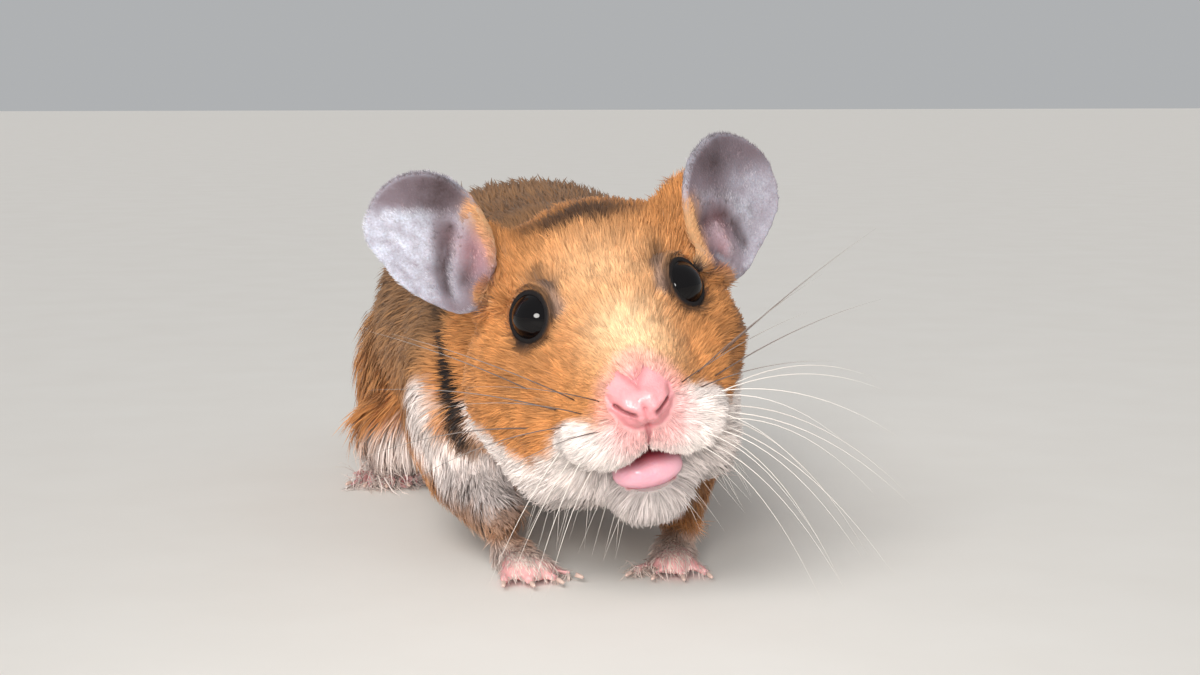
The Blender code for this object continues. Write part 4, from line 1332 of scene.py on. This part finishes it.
back = head_roots[:, 1]
regions = {
    "coat_ears": ear_roots,
    "coat_face": (back < 6) & ~ear_roots,
    "coat_head": (back >= 6) & (back < 22) & ~ear_roots,
    "coat_legs": (back >= 22) & (roots[:, 2] < 9),
    "coat_body": (back >= 22) & (roots[:, 2] >= 9)}
SHORT_STEPS, LONG_STEPS = (0.0, 0.45), (0.0, 0.35, 0.7)
MOST_TRIANGLES = 180000
coat_pieces = []
for region, here in regions.items():
    for form, chosen, steps in (("short", ~long_tuft, SHORT_STEPS), ("long", long_tuft, LONG_STEPS)):
        rows = np.flatnonzero(here & chosen & clear)
        parts = math.ceil(len(rows) * (2 * len(steps) - 1) / MOST_TRIANGLES)
        for k in range(parts):
            coat_pieces.append(build_coat(f"{region}_{form}_{k + 1}", rows[k::parts], steps))
triangles = sum(len(piece.data.loops) - 2 * len(piece.data.polygons) for piece in coat_pieces)
print("coat:", triangles, "triangles in", len(coat_pieces), "pieces")

# %% [markdown]
# The hair's own material starts from the same fur colours. A hair is darker at its root, where it grows
# from the woolly underfur, and on the back its tip is dark too. That ticking makes the gold look deep.

# %% The coat's material
material, thread, shader = new_material(
    "hamster_coat", Specular_IOR_Level=0.3, Sheen_Weight=0.1, Sheen_Roughness=0.5)
fur, tint_mask, ticking_mask = fur_colour(thread)
along_mask, ear_mask, silver_mask, painted_ear_shade_mask = masks_from(thread, "hair")
pink_mask = masks_from(thread, "markings")[2]
# The ears' down: silver, partly painted sheen, with painted shade in the folds and hollow.
down = silver_mask.between(colour(132, 116, 123), colour(222, 224, 234)).blend(PAINTED_EAR_SHADE, painted_ear_shade_mask)
down = down.blend(colour(206, 156, 158), pink_mask)
fur = fur.blend(down, ear_mask)
root_shade = 1 - along_mask
fur = fur.blend(colour(0, 0, 0), root_shade * root_shade * 0.38)
fur = fur.blend(colour(52, 36, 26), ticking_mask * along_mask * along_mask * tint_mask * 1.1)
level = 0.62 + tint_mask * 0.72
grey_level = thread.node("CombineColor", {}, {0: level, 1: level, 2: level})
look = fur.blend(grey_level, 1.0, "MULTIPLY")
feed(shader, Base_Color=look, Roughness=0.5 + tint_mask * 0.2)
for piece in coat_pieces:
    piece.data.materials.append(material)
    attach(piece, "root")

# %% [markdown]
# The eyes are beads: a ball whose cornea swells a little at its front, black with a trace of brown, and so
# smooth that it mirrors the lamp near the lens as living, wet eyes do.

# %% The eyes
CORNEA_SWELL, CORNEA_REACH = 0.08, 0.45
material, thread, shader = new_material("wet_eye", Specular_IOR_Level=0.32, IOR=1.45)
depths = thread.node("TexNoise", {}, {"Vector": thread, "Scale": 260.0, "Detail": 2.0})
look = (depths * 0.5).between(colour(7, 6, 8), colour(16, 12, 12))
feed(shader, Base_Color=look, Roughness=0.03 + depths * 0.03)
for side, middle in eye_middles.items():
    bpy.ops.object.select_all(action="DESELECT")
    bpy.ops.mesh.primitive_uv_sphere_add(
        segments=64, ring_count=32, radius=EYE_RADIUS * MM, location=middle * MM)
    eye = bpy.context.object
    eye.name = eye.data.name = "bead_eye_" + side
    bpy.ops.object.transform_apply(location=True)
    ray = places_of(eye) - middle
    angle = np.arccos(np.clip(ray @ eye_axes[side] / EYE_RADIUS, -1, 1))
    move_to(eye, middle + ray * (1 + CORNEA_SWELL * mound(angle, CORNEA_REACH))[:, None])
    bpy.ops.object.shade_smooth()
    eye.data.materials.append(material)
    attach(eye, "root")
    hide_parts("eye_" + side)
print("eyes set")

# %% [markdown]
# The tongue's tip rests behind the lower lip. The solid's copy is rounded by subdivision, set a little
# further back, made wider and thicker, given a shallow middle groove, and finished in wet pink that turns
# dark red towards its top, as painted shade under the upper lip.

# %% The tongue
SOLID_TONGUE, TONGUE_MIDDLE = (0, -11.0, -18.1), (0, -8.5, -18.2)
TONGUE_STRETCH = (1.32, 0.72, 2.45)
tongue = joined([copy_of("tongue")], "tongue_tip")
finished(tongue, "SUBSURF", levels=2, render_levels=2)
places = places_of(tongue)
head = to_head(places)
head = (head - SOLID_TONGUE) * TONGUE_STRETCH + TONGUE_MIDDLE
head[:, 1] += 0.25 * mound(head[:, 0], 0.7) * ramp(head[:, 2], -18.6, -17.0)
move_to(tongue, from_head(head))
# Painted shade: the tongue darkens to red towards its top, under the upper lip.
inward = ramp(head[:, 2], -17.6, -16.0)
keep_masks(tongue, "depth", inward, inward, inward, inward)
pick(tongue)
bpy.ops.object.shade_smooth()
tongue.data.materials.clear()
material, thread, shader = new_material(
    "wet_tongue", Subsurface_Weight=0.2, Subsurface_Scale=0.001, Coat_Weight=0.4, Coat_Roughness=0.1)
bumps = thread.node("TexVoronoi", {}, {"Vector": thread, "Scale": 3000.0})
tone = thread.node("TexNoise", {}, {"Vector": thread, "Scale": 500.0, "Detail": 3.0})
look = (tone * 0.6).between(colour(248, 192, 206), colour(236, 152, 172))
# Dark red towards the top: painted shade.
look = look.blend(colour(150, 44, 56), masks_from(thread, "depth")[0])
pits = thread.node("Bump", {}, {"Strength": 0.3, "Distance": 0.00008, "Height": bumps})
feed(shader, Base_Color=look, Roughness=0.38 + tone * 0.1, Normal=pits)
tongue.data.materials.append(material)
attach(tongue, "root")
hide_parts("tongue")

# %% [markdown]
# A claw is a small horn cone, pale horn streaked with a rosy tone.

# %% The claws
claw_names = sorted(name for name in frame["nodes"] if name.startswith("claw_"))
claws = joined([copy_of(name) for name in claw_names], "claws")
finished(claws, "SUBSURF", levels=2, render_levels=2)
pick(claws)
bpy.ops.object.shade_smooth()
claws.data.materials.clear()
material, thread, shader = new_material("claw_horn", Coat_Weight=0.3, Coat_Roughness=0.2)
streaks = thread.node("TexNoise", {}, {"Vector": thread, "Scale": 1500.0, "Detail": 2.0})
look = (streaks * 0.7).between(colour(226, 204, 190), colour(196, 150, 140))
feed(shader, Base_Color=look, Roughness=0.35 + streaks * 0.15)
claws.data.materials.append(material)
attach(claws, "root")
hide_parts(*claw_names)
print("claws:", len(claw_names))

# %% [markdown]
# Whiskers are stiff hairs in rows on the cheeks. Each is a six-sided tube that thins almost to nothing
# and sags in a gentle bow. The upper ones are dark and the lower ones white. The two sides differ: the
# lower ones of the right side are fewer, shorter and hang down, and those of the left side reach far out
# and sag. Finer fringe hairs, four-sided, hang below the cheeks and chin.

# %% Whiskers and fringe
LOWEST_TIP = 1.2


def hair_tube(root, way, length, sag, thickness, points=12, sides=6):
    """The points and faces of one tapered hair, bowed down by sag at its tip."""
    way = unit(np.asarray(way, float))
    t = np.linspace(0, 1, points)
    line = np.asarray(root) + way * (length * t)[:, None] + np.array([0, 0, -1.0]) * (sag * t ** 2)[:, None]
    lift = np.maximum(LOWEST_TIP - line[-1, 2], 0)
    line[:, 2] += lift * t ** 2
    along = unit(np.gradient(line, axis=0))
    side = unit(np.cross(along, (0.1, 0.2, 1.0)))
    other = np.cross(along, side)
    turn = np.arange(sides) * math.tau / sides
    radius = thickness / 2 * (1 - 0.93 * t)
    spokes = side[:, None] * np.cos(turn)[:, None] + other[:, None] * np.sin(turn)[:, None]
    rings = line[:, None] + radius[:, None, None] * spokes
    faces = []
    for k in range(0, (points - 1) * sides, sides):
        for j in range(sides):
            beside = (j + 1) % sides
            faces.append((k + j, k + beside, k + sides + beside, k + sides + j))
    faces += [tuple(range(sides - 1, -1, -1)), tuple(range((points - 1) * sides, points * sides))]
    return rings.reshape(-1, 3), faces, np.repeat(t, sides)


def hairs_piece(name, hairs, tone):
    """One mesh of all the hairs, in their own material."""
    places, faces, along, first = [], [], [], 0
    for hair in hairs:
        rings, tube, t = hair_tube(*hair)
        places.append(rings)
        along.append(t)
        faces += [tuple(first + corner for corner in face) for face in tube]
        first += len(rings)
    mesh = bpy.data.meshes.new(name)
    mesh.from_pydata((np.concatenate(places) * MM).tolist(), [], faces)
    mesh.shade_smooth()
    piece = bpy.data.objects.new(name, mesh)
    bpy.context.scene.collection.objects.link(piece)
    along = np.concatenate(along)
    keep_masks(piece, "hair", along, along * 0, along * 0, along * 0)
    material, thread, shader = new_material(name + "_hair", Specular_IOR_Level=0.5)
    along_mask = masks_from(thread, "hair")[0]
    look = (along_mask * 0.35).between(tone, colour(255, 250, 244))
    feed(shader, Base_Color=look, Roughness=0.4 - along_mask * 0.1)
    piece.data.materials.append(material)
    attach(piece, "root")
    print(name, len(hairs), "hairs")


skin_places = places_of(skin)


def on_skin(place):
    """The nearest point of the skin to a place in the head's frame."""
    return skin_places[gap_to(skin_places, from_head(place)).argmin()]


white, dark = [], []
for hand in HANDS.values():
    for row in range(5):
        for column in range(5):
            aside, back = 4.8 + 1.15 * column, -15.0 + 1.7 * column
            root = on_skin((hand * aside, back, -6.2 - 1.75 * row - 0.25 * column))
            spin = rng.random(4)
            upper = row < 2 or (hand < 0 and row == 2)
            ahead = 0.35 * spin[1] + 0.2 * column - (0.25 if hand < 0 and upper else 0.57)
            lift = 0.62 - 0.30 * row + 0.25 * spin[2] - (0.18 if hand > 0 else 0)
            length = 14 + 2.6 * column + 4 * spin[3] - 0.6 * row
            sag = 2.4 + 1.5 * row
            if hand < 0 and not upper:
                length, lift = 0.65 * length, lift - 0.8
            elif not upper:
                sag = 1.6 * sag
            out = HEAD_TURN @ np.array([hand * (1.0 + 0.2 * spin[0]), ahead, lift])
            if not upper:
                if hand > 0 or column % 2:
                    white.append((root, out, length, sag, 0.12 + 0.012 * column))
            elif (row + column) % 2 == 0:
                dark.append((root, out, length, sag, 0.15 + 0.012 * column))
    for k in range(18):
        spin = rng.random(4)
        root = on_skin((hand * (3.0 + 10.0 * k / 17), -10.5 + 8.0 * k / 17, -20.0 - 1.5 * spin[0]))
        out = np.array([hand * (0.25 + 0.5 * spin[1]), -0.25 + 0.3 * spin[2], -1.0])
        white.append((root, HEAD_TURN @ out, 3.5 + 5.0 * spin[3], 0.5, 0.08, 8, 4))
hairs_piece("whiskers_white", white, colour(238, 230, 222))
hairs_piece("whiskers_dark", dark, colour(74, 50, 40))

# %% [markdown]
# The skin now stands for all the flesh solids. A pale floor, a small soft lamp near the lens, wide soft
# light from a window and a dim room light make a plain studio. The window isn't mirrored in the eyes, so
# the near lamp alone gives them their highlight.

# %% Set the skin in the frame
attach(skin, "root")
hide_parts(*FLESH)

# %% Floor
bpy.ops.object.select_all(action="DESELECT")
bpy.ops.mesh.primitive_plane_add(size=8)
floor = bpy.context.object
floor.name = "floor"
material, thread, shader = new_material("pale_floor", Specular_IOR_Level=0.2)
grain = thread.node("TexNoise", {}, {"Vector": thread, "Scale": 60.0, "Detail": 4.0})
look = grain.between(colour(232, 229, 224), colour(226, 222, 216))
feed(shader, Base_Color=look, Roughness=0.8 + grain * 0.1)
floor.data.materials.append(material)

# %% Camera
CAMERA_AZIMUTH, CAMERA_HEIGHT = math.radians(-10), math.radians(7)
CAMERA_DISTANCE, HALF_VIEW = 240.0, 69.0
VIEW_LEFT, VIEW_DOWN = 0.8625, 4.485  # how far the view's middle lies left of the head's point and below it
SENSOR_WIDTH = 36.0
back_way = np.array([math.sin(CAMERA_AZIMUTH) * math.cos(CAMERA_HEIGHT),
                     -math.cos(CAMERA_AZIMUTH) * math.cos(CAMERA_HEIGHT), math.sin(CAMERA_HEIGHT)])
right_way = np.array([math.cos(CAMERA_AZIMUTH), math.sin(CAMERA_AZIMUTH), 0])
up_way = np.cross(back_way, right_way)
camera_place = HEAD_POINT - VIEW_LEFT * right_way - VIEW_DOWN * up_way + CAMERA_DISTANCE * back_way
camera_data = bpy.data.cameras.new("camera")
camera_data.sensor_width = SENSOR_WIDTH
camera_data.lens = SENSOR_WIDTH / 2 / (HALF_VIEW / CAMERA_DISTANCE)
camera_data.clip_start = 0.01
camera = bpy.data.objects.new("camera", camera_data)
bpy.context.scene.collection.objects.link(camera)
stand = Matrix(np.stack([right_way, up_way, back_way], axis=1).tolist()).to_4x4()
stand.translation = Vector(camera_place * MM)
camera.matrix_world = stand
bpy.context.scene.camera = camera
bpy.context.scene.view_settings.view_transform = "Standard"


# %% Lamps and room
def new_light(name, kind, power, tone, way):
    """A light that shines along a way."""
    data = bpy.data.lights.new(name, kind)
    data.energy = power
    data.color = tone
    light = bpy.data.objects.new(name, data)
    bpy.context.scene.collection.objects.link(light)
    light.rotation_euler = Vector(way).to_track_quat("-Z", "Y").to_euler()
    return light


LAMP_UP, LAMP_LEFT, LAMP_WIDTH, LAMP_POWER = 30, 25, 84, 0.072
lamp_place = camera_place + LAMP_UP * up_way - LAMP_LEFT * right_way
near_lamp = new_light("near_lamp", "AREA", LAMP_POWER, (1.0, 0.97, 0.93), HEAD_POINT - lamp_place)
near_lamp.location = lamp_place * MM
near_lamp.data.shape = "DISK"
near_lamp.data.size = LAMP_WIDTH * MM
near_lamp.data.spread = math.radians(70)
WINDOW_POWER, WINDOW_WAY = 1.5, (0.55, 0.62, -0.9)
window = new_light("window", "SUN", WINDOW_POWER, (1.0, 0.98, 0.96), WINDOW_WAY)
window.data.angle = math.radians(40)
window.visible_glossy = False
room = bpy.data.worlds.new("room")
bpy.context.scene.world = room
room.use_nodes = True
air = room.node_tree.nodes["Background"]
air.inputs["Color"].default_value = (0.86, 0.88, 0.90, 1)
air.inputs["Strength"].default_value = 0.5
print("camera at", camera_place.round(1), "near lamp at", lamp_place.round(1))
